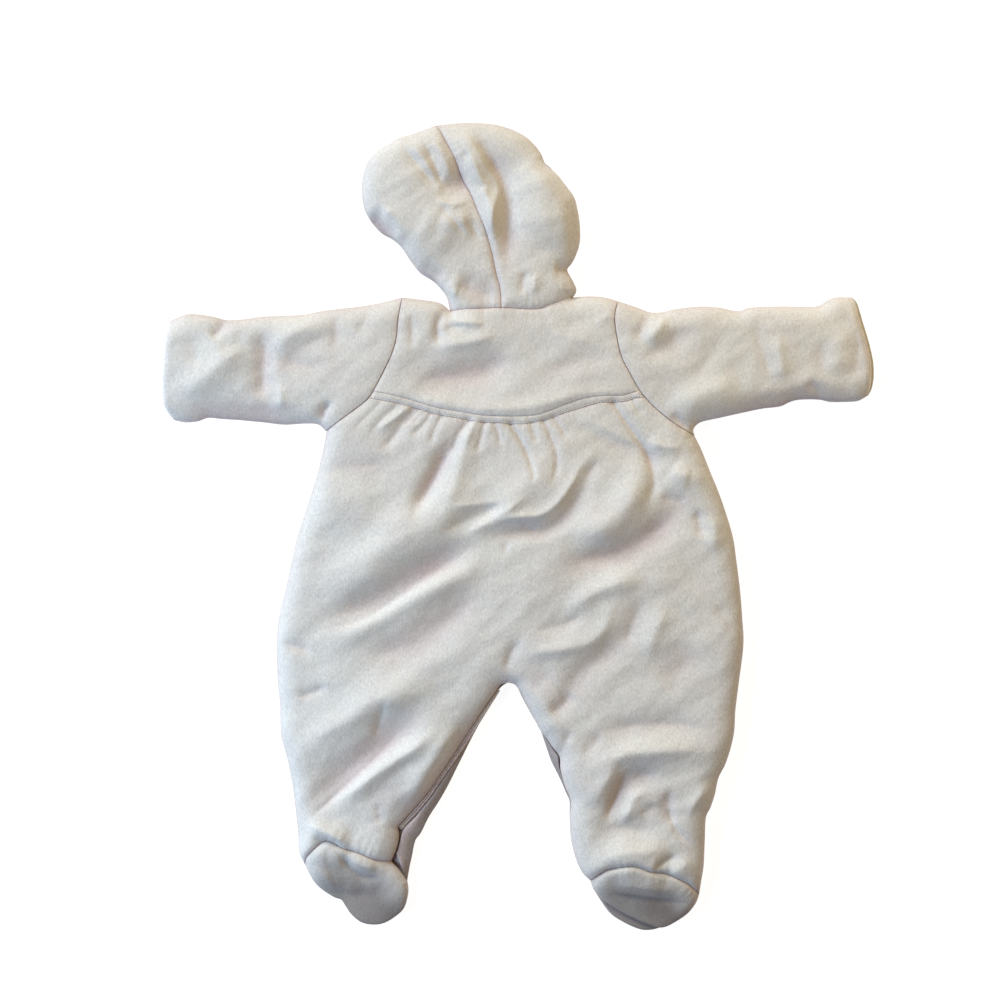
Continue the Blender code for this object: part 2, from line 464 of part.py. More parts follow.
# Free edges that round down from above, those that round up from below, and stitched seams
TOP_EDGES = ("left side upper", "left side lower", "right side upper", "right side lower",
             "left shoulder", "right shoulder", "left leg inner", "left ankle",
             "right leg inner", "left sole inner", "left toe", "right sole edge",
             "left sleeve top", "left sleeve low", "right sleeve top", "right sleeve low",
             "hood right", "hood left")
SLEEVE_EDGES = ("left sleeve top", "left sleeve low", "right sleeve top", "right sleeve low")
SEAMS = ("left armhole", "right armhole", "neck", "band top", "band low", "left heel",
         "right heel", "hood seam")


# ---------------------------------------------------------------- heights above the table


def quarter_round(distance, radius):
    """0 on an edge, rising as a quarter circle to 1 at the radius."""
    share = np.clip((distance - ON_LINE) / (radius - ON_LINE), 0, 1)
    return np.sqrt(1 - (1 - share) ** 2)


def ease(value, low, high):
    """0 below low, 1 above high, smooth in between."""
    t = np.clip((value - low) / (high - low), 0, 1)
    return t * t * (3 - 2 * t)


def least_distance(places, names):
    """Distance to the nearest of the named lines."""
    return np.min([distance_to(places, LINES[name])[0] for name in names], axis=0)


def fold_relief(places):
    """How much the folds raise or lower the cloth; narrow folds are widened and made lower."""
    relief = np.zeros(len(places))
    for fold in FOLDS:
        gathered = fold.name.startswith("gather")
        width = max(fold.width, LEAST_GATHER if gathered else LEAST_WIDTH)
        rise = fold.rise * (fold.width / width) ** WIDENING
        route = smooth_line(fold.route)
        gap, fraction = distance_to(places, route)
        from_end = 1 - fraction if gathered else np.minimum(fraction, 1 - fraction)
        fade = END_FADE * min(END_LENGTH * length(route) / width, 1)
        swell = 1 - fade * (1 - ease(from_end, 0, END_SHARE))
        shape = np.interp(width, (SHARP_WIDTH, ROUND_WIDTH), (SHARP, ROUND))
        relief += rise * swell * np.exp(-((gap / width) ** shape))
    return relief


def sole_fall(places):
    """How much the soles fall away from their heel seams, down to the toes."""
    fall = np.zeros(len(places))
    for heel in HEELS.values():
        gap = distance_to(places, heel)[0]
        beyond = (gap < SOLE_REACH) & (places[:, 1] < np.interp(places[:, 0], *heel.T))
        fall += np.where(beyond, SOLE_FALL * (gap / SOLE_REACH) ** SOLE_CURVE, 0)
    return fall


def top_height(places, cuff=("left cuff", "right cuff")):
    """The upper face of the suit over places on the plan."""
    loft = BACK_LOFT + fold_relief(places) - sole_fall(places)
    dip = SEAM_DIP * np.exp(-least_distance(places, SEAMS) / SEAM_SPREAD)
    crest = LOWEST_TOP + np.logaddexp(0, (loft - dip - LOWEST_TOP) / LEVELLING) * LEVELLING
    edge = quarter_round(least_distance(places, TOP_EDGES), EDGE_ROUND)
    hem = quarter_round(least_distance(places, cuff), CUFF_ROUND)
    return EDGE_HEIGHT + (crest - EDGE_HEIGHT) * edge * hem


def under_height(places, edges, cuff=()):
    """The lower face of a sleeve or brim, which rounds down to the table."""
    edge = quarter_round(least_distance(places, edges), UNDER_ROUND)
    if cuff:
        edge = edge * quarter_round(least_distance(places, cuff), CUFF_ROUND)
    return EDGE_HEIGHT * (1 - edge)


# ---------------------------------------------------------------- plans of the panels


def spread(size, near, far, between):
    """Fractions across a panel: close together by both edges and even in between."""
    first = np.array(near) / size
    last = 1 - np.array(far)[::-1] / size
    middle = np.linspace(first[-1], last[0], between + 2)[1:-1]
    return np.concatenate((first, middle, last))


def patch(near, far, start, end, columns, rows, start_fade=4, end_fade=4):
    """The plan of a panel between four lines, a row of places for each cross row.

    near and far are lists of (line, row fraction at its end); start and end are lines that
    run from near to far. columns holds a fraction for each column, or a row of them each row.
    """
    left = boundary(near, rows)
    right = boundary(far, rows)
    u = np.broadcast_to(columns, (len(rows), np.shape(columns)[-1]))
    plan = left[:, None] * (1 - u[..., None]) + right[:, None] * u[..., None]
    for line, fade in ((start, (1 - rows) ** start_fade), (end, rows**end_fade)):
        chord = line[0] * (1 - u[..., None]) + line[-1] * u[..., None]
        plan = plan + fade[:, None, None] * (along(line, u) - chord)
    return plan


def boundary(parts, rows):
    """Places along lines joined end to end, one for each row fraction."""
    places = np.zeros((len(rows), 2))
    begin = 0.0
    for line, end in parts:
        inside = (rows >= begin - 1e-9) & (rows <= end + 1e-9)
        places[inside] = along(line, (rows[inside] - begin) / (end - begin))
        begin = end
    return places


def row_fractions(*stages):
    """Row fractions from (end fraction, count) stages, even inside each stage."""
    rows = [np.array([0.0])]
    begin = 0.0
    for end, count in stages:
        rows.append(np.linspace(begin, end, count + 1)[1:])
        begin = end
    return np.concatenate(rows)


# ---------------------------------------------------------------- making meshes


def grid_on(bm, plan):
    """A grid face by face on a plan, flat on the table, in millimetres."""
    rows, columns = plan.shape[:2]
    made = bmesh.ops.create_grid(bm, x_segments=columns - 1, y_segments=rows - 1, size=1)
    for vert in made["verts"]:
        column = round((vert.co.x + 1) / 2 * (columns - 1))
        row = round((vert.co.y + 1) / 2 * (rows - 1))
        vert.co = (*plan[row, column], 0)
    return made["verts"]


def places_of(verts):
    return np.array([vert.co[:2] for vert in verts])


def set_heights(verts, heights):
    for vert, height in zip(verts, heights):
        vert.co.z = height


def open_edges(bm):
    return [edge for edge in bm.edges if edge.is_boundary]


def loops_of(edges):
    """Ordered rings of vertices that run round the given edges."""
    links = {}
    for edge in edges:
        for vert in edge.verts:
            links.setdefault(vert, []).append(edge.other_vert(vert))
    rings = []
    left = set(links)
    while left:
        ring = [min(left, key=lambda vert: (vert.co.x, vert.co.y))]
        left.discard(ring[0])
        step = links[ring[0]][0]
        while step is not None:
            ring.append(step)
            left.discard(step)
            step = next((vert for vert in links[step] if vert in left), None)
        rings.append(ring)
    return rings


def inward(ring):
    """Unit vectors that point into the area inside a ring of places, scaled at corners."""
    ahead = np.roll(ring, -1, axis=0) - ring
    behind = ring - np.roll(ring, 1, axis=0)
    ahead /= np.hypot(*ahead.T)[:, None]
    behind /= np.hypot(*behind.T)[:, None]
    cross = ring[:, 0] * np.roll(ring[:, 1], -1) - np.roll(ring[:, 0], -1) * ring[:, 1]
    turn = np.sign(cross.sum())
    normal_ahead = turn * np.column_stack((-ahead[:, 1], ahead[:, 0]))
    normal_behind = turn * np.column_stack((-behind[:, 1], behind[:, 0]))
    middle = normal_ahead + normal_behind
    middle /= np.maximum(np.hypot(*middle.T), 1e-6)[:, None]
    corner = np.maximum((middle * normal_ahead).sum(1), LEAST_CORNER)
    return middle / corner[:, None]


def shrink_rim(bm, amount):
    """Draws every open rim inwards on the plan."""
    for ring in loops_of(open_edges(bm)):
        places = places_of(ring)
        moved = places + amount * inward(places)
        for vert, place in zip(ring, moved):
            vert.co.x, vert.co.y = place


def draw_out(bm, edges):
    """Extrudes an open rim and gives the new rim's edges."""
    drawn = bmesh.ops.extrude_edge_only(bm, edges=edges)["geom"]
    return [item for item in drawn if isinstance(item, bmesh.types.BMEdge) and item.is_boundary]


def close_below(bm, floor, free_edges):
    """Drops the open rim to a flat underside, tucked in a little along free edges."""
    fresh = draw_out(bm, open_edges(bm))
    ring = loops_of(fresh)[0]
    places = places_of(ring)
    tuck = np.zeros(len(ring))
    if free_edges:
        tuck = RIM_TUCK * (1 - ease(least_distance(places, free_edges), 0.5, 2.0))
        tuck *= ease(least_distance(places, SEAMS), 0.5, 4.0)
    moved = places + tuck[:, None] * inward(places)
    for vert, place in zip(ring, moved):
        vert.co = (*place, floor)
    bmesh.ops.contextual_create(bm, geom=fresh)


def cloth_material(name, colour):
    material = bpy.data.materials.new(name)
    material.use_nodes = True
    shader = material.node_tree.nodes["Principled BSDF"]
    shader.inputs["Base Color"].default_value = (*colour, 1)
    shader.inputs["Roughness"].default_value = ROUGHNESS
    return material


def follow_folds(bm):
    """Halves each face of the upper side along its flatter diagonal, so that folds run smooth."""
    bm.normal_update()
    upper = [face for face in bm.faces if len(face.verts) == 4 and face.normal.z > UPWARD]
    for face in upper:
        a, b, c, d = face.verts
        if abs(a.co.z - c.co.z) > abs(b.co.z - d.co.z):
            a, b, c, d = b, c, d, a
        way = (c.co - a.co).xy
        if (b.co - a.co).xy.cross(way) * (d.co - a.co).xy.cross(way) < 0:
            bmesh.utils.face_split(face, a, c)


def finish(bm, name, colour):
    """Turns the millimetre mesh into a named object in metres, with its faces outwards."""
    bmesh.ops.recalc_face_normals(bm, faces=bm.faces)
    follow_folds(bm)
    for vert in bm.verts:
        vert.co *= MM
    mesh = bpy.data.meshes.new(name)
    bm.to_mesh(mesh)
    bm.free()
    piece = bpy.data.objects.new(name, mesh)
    bpy.context.scene.collection.objects.link(piece)
    mesh.materials.append(cloth_material(name, colour))
    mesh.shade_smooth()
    mesh.set_sharp_from_angle(angle=SHARP_ANGLE)
    return piece


def top_panel(name, plans, colour, trim=SEAM_GAP / 2, gathered_rows=0):
    """A piece of the back layer: one or two plans welded together, raised and closed below."""
    bm = bmesh.new()
    for plan in plans:
        grid_on(bm, plan)
    bmesh.ops.remove_doubles(bm, verts=bm.verts, dist=WELD)
    if gathered_rows:
        split_columns(bm, plans, gathered_rows)
    verts = list(bm.verts)
    set_heights(verts, top_height(places_of(verts)))
    shrink_rim(bm, trim)
    close_below(bm, BACK_FLOOR, TOP_EDGES)
    return finish(bm, name, colour)


def split_columns(bm, plans, gathered_rows):
    """Halves the columns of the first rows, where the cloth is gathered into the band."""
    rows = [plan[row] for plan in plans for row in range(gathered_rows)]
    wanted = set()
    for row in rows:
        for a, b in zip(row, row[1:]):
            wanted.add(tuple(np.round((a + b) / 2, 2)))
    crossing = []
    for edge in bm.edges:
        middle = (edge.verts[0].co + edge.verts[1].co) / 2
        if tuple(np.round(np.array(middle[:2]), 2)) in wanted:
            crossing.append(edge)
    bmesh.ops.subdivide_edges(bm, edges=crossing, cuts=1, use_grid_fill=True)


# ---------------------------------------------------------------- the pieces


YOKE_ROWS = 5
SHOULDER_COLUMNS = 5
NECK_COLUMNS = 14
YOKE_LENGTH = 85


def build_yoke():
    left = LINES["left armhole"]
    right = LINES["right armhole"]
    left_end = nearest_fraction(left, LINES["band top"][0])
    right_end = nearest_fraction(right, LINES["band top"][-1])
    top = np.vstack((LINES["left shoulder"], LINES["neck"][1:], LINES["right shoulder"][1:]))
    neck_start = length(LINES["left shoulder"]) / length(top)
    neck_end = 1 - length(LINES["right shoulder"]) / length(top)
    steps = np.array(SEAM_STEPS) / length(top)
    columns = np.concatenate((
        steps[:-1], np.linspace(steps[-1], neck_start, SHOULDER_COLUMNS),
        np.linspace(neck_start, neck_end, NECK_COLUMNS)[1:-1],
        np.linspace(neck_end, 1 - steps[-1], SHOULDER_COLUMNS), 1 - steps[-2::-1]))
    rows = spread(YOKE_LENGTH, NECK_STEPS, SEAM_STEPS[:3], YOKE_ROWS)
    near = stretch(left, 0, left_end)
    far = stretch(right, 0, right_end)
    low = fitted(LINES["band top"], near[-1], far[-1])
    plan = patch([(near, 1)], [(far, 1)], top, low, columns, rows, 2, 2)
    return top_panel("back_yoke", [plan], PINK)


def fitted(line, first, last):
    """A line with its two ends drawn exactly to the given places."""
    share = np.linspace(0, 1, len(line))[:, None]
    start_shift = np.asarray(first) - line[0]
    end_shift = np.asarray(last) - line[-1]
    return line + start_shift * (1 - share) ** 8 + end_shift * share**8


BAND_COLUMNS = 37
BAND_ROWS = (0, 0.3, 0.7, 1)


def build_yoke_band():
    left = LINES["left armhole"]
    right = LINES["right armhole"]
    cuts = [nearest_fraction(line, LINES[band][end])
            for line, band, end in ((left, "band top", 0), (left, "band low", 0),
                                    (right, "band top", -1), (right, "band low", -1))]
    near = stretch(left, cuts[0], cuts[1])
    far = stretch(right, cuts[2], cuts[3])
    top = fitted(LINES["band top"], near[0], far[0])
    low = fitted(LINES["band low"], near[-1], far[-1])
    columns = np.linspace(0, 1, BAND_COLUMNS)
    plan = patch([(near, 1)], [(far, 1)], top, low, columns, np.array(BAND_ROWS), 1, 1)
    return top_panel("yoke_band", [plan], BAND_PINK, trim=SEAM_GAP)


# The back panel's cross rows: shares of its length at the underarms, crotch and ankles, the
# counts of rows between, and how far above and below the crotch its columns change over
UNDERARM, CROTCH, ANKLE = 0.08, 0.60, 0.90
FIRST_ROW = 0.012
TORSO_ROWS = 25
TORSO_HALF = 180
LEG_WIDTH = 125
BODY_COLUMNS = 12
ABOVE_CROTCH, BELOW_CROTCH = 0.12, 0.05
GATHERED_ROWS = 5


def build_back_body():
    rows = row_fractions((FIRST_ROW, 1), (UNDERARM, GATHERED_ROWS - 1), (CROTCH, TORSO_ROWS),
                         (ANKLE, LEG_ROWS), (1.0, 5))
    left_hole = LINES["left armhole"]
    right_hole = LINES["right armhole"]
    left_cut = nearest_fraction(left_hole, LINES["band low"][0])
    right_cut = nearest_fraction(right_hole, LINES["band low"][-1])
    band = fitted(LINES["band low"], along(left_hole, left_cut), along(right_hole, right_cut))
    middle = nearest_fraction(band, LINES["centre back"][0])
    centre = LINES["centre back"].copy()
    centre[0] = along(band, middle)
    split = ease(rows, CROTCH - ABOVE_CROTCH, CROTCH + BELOW_CROTCH)[:, None]
    torso = spread(TORSO_HALF, EDGE_STEPS, CENTRE_STEPS, BODY_COLUMNS)
    leg = spread(LEG_WIDTH, EDGE_STEPS, EDGE_STEPS, BODY_COLUMNS)
    columns = torso * (1 - split) + leg * split

    outer = [(stretch(left_hole, left_cut, 1), UNDERARM), (LINES["left side upper"], CROTCH),
             (LINES["left side lower"], 1.0)]
    inner = [(centre, CROTCH), (LINES["left leg inner"], ANKLE), (LINES["left ankle"], 1.0)]
    left = patch(outer, inner, stretch(band, 0, middle), LINES["left heel"], columns, rows, 6, 9)

    outer = [(stretch(right_hole, right_cut, 1), UNDERARM), (LINES["right side upper"], CROTCH),
             (LINES["right side lower"], 1.0)]
    inner = [(centre, CROTCH), (LINES["right leg inner"], 1.0)]
    right = patch(outer, inner, stretch(band, 1, middle), LINES["right heel"][::-1], columns,
                  rows, 6, 9)
    return top_panel("back_body", [left, right], PINK,
                     gathered_rows=GATHERED_ROWS)


SOLE_COLUMNS = 9
SOLE_ROWS = (0, 0.14, 0.3, 0.5, 0.7, 0.86, 1)


def build_sole(side, edge):
    """A sole between its heel seam and its outer edge, its two corners cut short."""
    heel = HEELS[side]
    near_cut, far_cut = SOLE_ENDS[side]
    columns = spread(length(heel), HEEL_STEPS, HEEL_STEPS, SOLE_COLUMNS)
    start = stretch(heel, 0, 1 - far_cut)
    end = stretch(edge, near_cut, 1)
    near = stretch(edge, 0, near_cut)
    far = stretch(heel, 1 - far_cut, 1)
    plan = patch([(near, 1)], [(far, 1)], start, end, columns, np.array(SOLE_ROWS), 1, 1)
    return top_panel("sole_" + side, [plan], PINK, trim=SEAM_GAP)


def build_leg_band():
    rows = np.concatenate(([0], np.arange(1, 2 * LEG_ROWS - 1) / (2 * LEG_ROWS - 2)))
    inner = stretch(LINES["left leg inner"], 1 / LEG_ROWS, 1)
    outer = LINES["leg band outer"]
    columns = np.array([0, 0.5, 1])
    ends = [np.linspace(inner[end], outer[end], 9) for end in (0, -1)]
    plan = patch([(inner, 1)], [(outer, 1)], ends[0], ends[1], columns, rows)
    bm = bmesh.new()
    verts = grid_on(bm, plan)
    places = places_of(verts)
    inner_gap = distance_to(places, inner)[0]
    outer_gap = distance_to(places, outer)[0]
    across = inner_gap / np.maximum(inner_gap + outer_gap, 1e-6)
    set_heights(verts, LEG_BAND_INNER + (LEG_BAND_OUTER - LEG_BAND_INNER) * across)
    shrink_rim(bm, SEAM_GAP)
    close_below(bm, BACK_FLOOR, ())
    return finish(bm, "leg_band", BAND_PINK)


# The front layer's side wall from its inner face to the table: how far in, and how high
FRONT_RINGS = ((2.4, FRONT_LOFT), (0.5, 8.8), (0.0, 6.6), (1.4, 1.9), (6.0, 0.0))

# A stretch of outline, the points on it, and how freely it rounds: 1 an open edge, 0 a seam
Run = namedtuple("Run", "line points free")


def front_piece(name, runs, colour):
    """A piece of the front layer from runs of its outline."""
    places = []
    free = []
    for run in runs:
        places.append(along(run.line, np.linspace(0, 1, run.points + 1)[:-1]))
        free.append(np.full(run.points, float(run.free)))
    places = np.vstack(places)
    free = np.concatenate(free)
    free *= np.minimum(np.roll(free, 1), 1)
    free = np.minimum(free, 0.5 + 0.5 * np.minimum(np.roll(free, 1), np.roll(free, -1)))
    normal = inward(places)
    places = places + SEAM_GAP / 2 * normal
    normal /= np.maximum(np.hypot(*normal.T), 1)[:, None]
    bm = bmesh.new()
    inset, height = FRONT_RINGS[0]
    ring = [bm.verts.new((*place, height)) for place in places + (inset * free)[:, None] * normal]
    bm.faces.new(ring)
    edges = open_edges(bm)
    for inset, height in FRONT_RINGS[1:]:
        edges = draw_out(bm, edges)
        ring = matched_ring(edges, ring)
        for vert, place in zip(ring, places + (inset * free)[:, None] * normal):
            vert.co = (*place, height)
    bmesh.ops.contextual_create(bm, geom=edges)
    return finish(bm, name, colour)


def matched_ring(edges, ring):
    """The new ring's vertices in the order of the ring that they were drawn from."""
    fresh = {tuple(round(value, 5) for value in vert.co): vert for edge in edges for vert in edge.verts}
    return [fresh[tuple(round(value, 5) for value in vert.co)] for vert in ring]


def front_cuts(side):
    """Where a front meets the centre band: fractions on the neckline and on the leg."""
    x = CENTRE_X + (FRONT_BAND_HALF if side == "right" else -FRONT_BAND_HALF)
    neckline = LINES["front neckline"]
    leg = LINES[side + " leg front"]
    upper_leg = leg[: len(leg) // 3]
    low = upper_leg[np.abs(upper_leg[:, 0] - x).argmin()]
    high = neckline[np.abs(neckline[:, 0] - x).argmin()]
    return nearest_fraction(neckline, high), nearest_fraction(leg, low)


def build_fronts():
    """Two fronts and the band between them, flush on the table."""
    neckline = LINES["front neckline"]
    left_neck, left_leg = front_cuts("left")
    right_neck, right_leg = front_cuts("right")

    leg = stretch(LINES["left leg front"], 1, left_leg)
    neck = stretch(neckline, left_neck, 0)
    edge = np.linspace(leg[-1], neck[0], 9)
    front_piece("front_left", (
        Run(LINES["left armhole"], 16, 0), Run(LINES["left side upper"], 22, 1),
        Run(LINES["left side lower"], 14, 1), Run(LINES["left toe"], 22, 1),
        Run(leg, 19, 1), Run(edge, 2, 0), Run(neck, 7, 0),
        Run(LINES["left shoulder"][::-1], 5, 1)), PINK)

    leg = stretch(LINES["right leg front"], right_leg, 1)
    neck = stretch(neckline, 1, right_neck)
    edge = np.linspace(neck[-1], leg[0], 9)
    front_piece("front_right", (
        Run(LINES["right shoulder"][::-1], 5, 1), Run(neck, 7, 0), Run(edge, 2, 0),
        Run(leg, 19, 1), Run(LINES["right toe"], 20, 1),
        Run(LINES["right side lower"][::-1], 16, 1), Run(LINES["right side upper"][::-1], 22, 1),
        Run(LINES["right armhole"][::-1], 16, 0)), PINK)

    top = stretch(neckline, left_neck, right_neck)
    left_low = stretch(LINES["left leg front"], 0, left_leg)
    right_low = stretch(LINES["right leg front"], right_leg, 0)
    front_piece("front_band", (
        Run(top, 3, 0), Run(np.linspace(top[-1], right_low[0], 9), 2, 0), Run(right_low, 3, 0.25),
        Run(left_low, 3, 0.25), Run(np.linspace(left_low[-1], top[0], 9), 2, 0)), BAND_PINK)


def sleeve_plan(side, cuff, columns, rows):
    """Plan of one skin of a sleeve, from its cuff to its armhole."""
    return patch([(LINES[side + " sleeve top"], 1)], [(LINES[side + " sleeve low"], 1)],
                 LINES[cuff], LINES[side + " armhole"], columns, rows, 12, 3)


SLEEVE_LENGTH = 200
SLEEVE_WIDTH = 100
SLEEVE_ROWS = 15
SLEEVE_COLUMNS = 6
CUFF_STEPS = (0.0, 0.4, 1.7, 5.0, 10.0)


def build_sleeve(side):
    """A flat tube: an upper skin, a lower skin and a narrow slit that is open at both ends."""
    under_cuff = "right cuff under" if side == "right" else "left cuff"
    rows = spread(SLEEVE_LENGTH, CUFF_STEPS, SEAM_STEPS[:3], SLEEVE_ROWS)
    upper_columns = spread(SLEEVE_WIDTH, EDGE_STEPS, EDGE_STEPS, SLEEVE_COLUMNS)
    lower_columns = spread(SLEEVE_WIDTH, UNDER_STEPS, UNDER_STEPS, 1)
    bm = bmesh.new()
    across = bm.verts.layers.float.new("across")
    face_side = bm.verts.layers.float.new("side")
    for sign, columns, cuff in ((1, upper_columns, side + " cuff"), (-1, lower_columns, under_cuff)):
        plan = sleeve_plan(side, cuff, columns, rows)
        verts = grid_on(bm, plan)
        places = places_of(verts)
        if sign > 0:
            heights = top_height(places)
        else:
            heights = under_height(places, SLEEVE_EDGES, (cuff,))
        cuff_gap = distance_to(places, LINES[cuff])[0]
        fractions = fraction_lookup(places, plan, columns)
        for vert, height, fraction, gap in zip(verts, heights, fractions, cuff_gap):
            vert[across] = fraction
            vert[face_side] = sign if 0.001 < fraction < 0.999 else 0
            vert.co.z = EDGE_HEIGHT + SLIT * vert[face_side] if gap < ON_LINE else height
    bmesh.ops.remove_doubles(bm, verts=bm.verts, dist=WELD)
    rings = sorted(loops_of(open_edges(bm)), key=lambda ring: abs(np.mean(places_of(ring)[:, 0])))
    hole_edges = ring_edges(rings[0])
    slit_edges = ring_edges(rings[1])
    leave_seam(rings[0], LINES[side + " armhole"], SLEEVE_GAP)
    for row in SLIT_ROWS:
        slit_edges = draw_out(bm, slit_edges)
        place_slit(slit_edges, side, row, across, face_side)
    end_edges = draw_out(bm, hole_edges)
    place_slit(end_edges, side, 1, across, face_side)
    ring = list({vert for edge in end_edges + slit_edges for vert in edge.verts})
    leave_seam(ring, LINES[side + " armhole"], SLEEVE_GAP)
    bmesh.ops.remove_doubles(bm, verts=bm.verts, dist=FINE_WELD)
    return finish(bm, "sleeve_" + side, PINK)


def fraction_lookup(places, plan, columns):
    """The column fraction of each place of a plan."""
    flat = plan.reshape(-1, 2)
    fractions = np.tile(columns, plan.shape[0])
    order = [int(np.abs(flat - place).sum(1).argmin()) for place in places]
    return fractions[order]


def ring_edges(ring):
    """The open edges that run round a ring of vertices."""
    return list({edge for vert in ring for edge in vert.link_edges if edge.is_boundary})


def leave_seam(ring, hole, amount):
    """Moves a sleeve's end off its armhole line, towards the cuff."""
    places = places_of(ring)
    fraction = distance_to(places, hole)[1]
    ahead = along(hole, np.minimum(fraction + 0.01, 1)) - along(hole, np.maximum(fraction - 0.01, 0))
    ahead /= np.hypot(*ahead.T)[:, None]
    outwards = np.column_stack((-ahead[:, 1], ahead[:, 0]))
    outwards *= np.sign(outwards[len(ring) // 2] @ (np.sign(hole[0, 0]), 0.3))
    for vert, place in zip(ring, places + amount * outwards):
        vert.co.x, vert.co.y = place


def place_slit(edges, side, row, across, face_side):
    """Sets a ring of the slit at a row of the sleeve, clear of the folded edges."""
    top = LINES[side + " sleeve top"]
    low = LINES[side + " sleeve low"]
    inset = SLIT_INSET / np.hypot(*(along(low, 0.5) - along(top, 0.5)))
    verts = list({vert for edge in edges for vert in edge.verts})
    fractions = np.array([inset + vert[across] * (1 - 2 * inset) for vert in verts])
    plan = sleeve_plan(side, side + " cuff", fractions, np.array([row]))[0]
    for vert, place in zip(verts, plan):
        vert.co = (*place, EDGE_HEIGHT + SLIT * vert[face_side])


HOOD_WIDTH = 80
HOOD_LENGTH = 150
HOOD_COLUMNS = 6
HOOD_ROWS = 9


def hood_plan(side):
    """Plan of one hood half between its centre seam, the neck, the side and the crown."""
    outline = LINES["hood " + side]
    seam = LINES["hood seam"]
    corner = HOOD_CORNER[side]
    neck_cut = nearest_fraction(LINES["neck"], seam[0])
    neck = stretch(LINES["neck"], neck_cut, 1 if side == "right" else 0)
    columns = spread(HOOD_WIDTH, SEAM_STEPS[:3], EDGE_STEPS, HOOD_COLUMNS)
    rows = spread(HOOD_LENGTH, SEAM_STEPS[:3], EDGE_STEPS, HOOD_ROWS)
    crown = stretch(outline, 1, corner)
    return patch([(seam, 1)], [(stretch(outline, 0, corner), 1)], neck, crown, columns, rows, 3, 1.5)


def build_hood(side):
    """One half of the hood: a padded bowl whose brim turns under on the table."""
    outline = LINES["hood " + side]
    brim = LINES["brim " + side]
    bm = bmesh.new()
    role = bm.verts.layers.float.new("role")
    part = bm.verts.layers.float.new("part")
    verts = grid_on(bm, hood_plan(side))
    places = places_of(verts)
    set_heights(verts, top_height(places))
    rim_edges = [edge for edge in open_edges(bm)
                 if distance_to(places_of(edge.verts), outline)[0].max() < ON_LINE]
    for vert, fraction in zip(bm.verts, distance_to(places_of(bm.verts), outline)[1]):
        vert[part] = fraction
    for ring in range(1, len(UNDER_STEPS) + 2):
        known = set(bm.verts)
        rim_edges = [edge for edge in draw_out(bm, rim_edges) if not known & set(edge.verts)]
        for vert in {vert for edge in rim_edges for vert in edge.verts}:
            vert[role] = ring
    set_brim(bm, role, part, outline, brim)
    inner = bmesh.ops.extrude_face_region(bm, geom=list(bm.faces), use_keep_orig=True)["geom"]
    inner_verts = [item for item in inner if isinstance(item, bmesh.types.BMVert)]
    set_lining(inner_verts, role, part, outline, brim)
    seam_side = 1 if side == "right" else -1
    for vert in bm.verts:
        vert.co.x += seam_side * SEAM_GAP / 2
        vert.co.y += SEAM_GAP
    return finish(bm, "hood_" + side, PINK)


def brim_way(fraction, outline, brim):
    """The outline's place at a fraction, the way from it to the brim's edge, and how far."""
    start = along(outline, fraction)
    way = along(brim, fraction) - start
    size = np.hypot(*way)
    return start, way / size, size


def set_brim(bm, role, part, outline, brim):
    """Bends the rings drawn from the outline under and in, down to the table."""
    last = len(UNDER_STEPS) + 1
    for vert in bm.verts:
        ring = round(vert[role])
        if ring == 0:
            continue
        start, way, size = brim_way(vert[part], outline, brim)
        if ring < len(UNDER_STEPS):
            step = UNDER_STEPS[ring]
            height = EDGE_HEIGHT * (1 - quarter_round(np.array([step]), UNDER_ROUND)[0])
        else:
            step = size if ring == last else size - HEM_ROUND
            height = HEM_ROUND if ring == last else 0.0
        vert.co = (*(start + way * step), height)


def set_lining(verts, role, part, outline, brim):
    """Places the bowl's inner face: under the crown, round the fold and over the brim."""
    seam = LINES["hood seam"]
    places = places_of(verts)
    seam_gap, seam_part = distance_to(places, seam)
    crown_gap = least_distance(places, ("hood left", "hood right"))
    neck_gap = distance_to(places, LINES["neck"])[0]
    for index, vert in enumerate(verts):
        start, way, size = brim_way(vert[part], outline, brim)
        place = np.array(vert.co[:2])
        if round(vert[role]) == 0:
            out = crown_gap[index]
            shift = HOOD_WALL * (1 - ease(out, 0, HOOD_SHIFT))
            lift = HOOD_LIFT * ease(min(out, neck_gap[index]), *HOOD_RISE)
            lift = min(lift, max(vert.co.z - HOOD_LEAST - HOOD_FLOOR, 0))
            if seam_gap[index] < ON_LINE:
                place = along(seam, seam_part[index] - shift / length(seam))
            else:
                place = place + way * shift
            height = HOOD_FLOOR + lift if out > ON_LINE else (HOOD_FLOOR + BRIM_TOP) / 2
        else:
            step = np.hypot(*(place - start))
            place = start + way * (HOOD_WALL + step * (size - HOOD_WALL) / size)
            height = BRIM_TOP
        vert.co = (*place, height)


def clear_scene():
    for item in list(bpy.data.objects):
        bpy.data.objects.remove(item, do_unlink=True)


def main():
    clear_scene()
    build_yoke()
    build_yoke_band()
    build_back_body()
    build_sole("left", LINES["left toe"])
    build_sole("right", LINES["right sole edge"])
    build_leg_band()
    build_fronts()
    for side in ("left", "right"):
        build_sleeve(side)
        build_hood(side)


main()
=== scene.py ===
"""A padded baby snowsuit laid out on its front: cloth, folds, seams, stitches and stage."""

import math
from collections import namedtuple

import bmesh
import bpy
import numpy as np
from bpy.props import FloatProperty, FloatVectorProperty, PointerProperty
from mathutils import Matrix, Vector


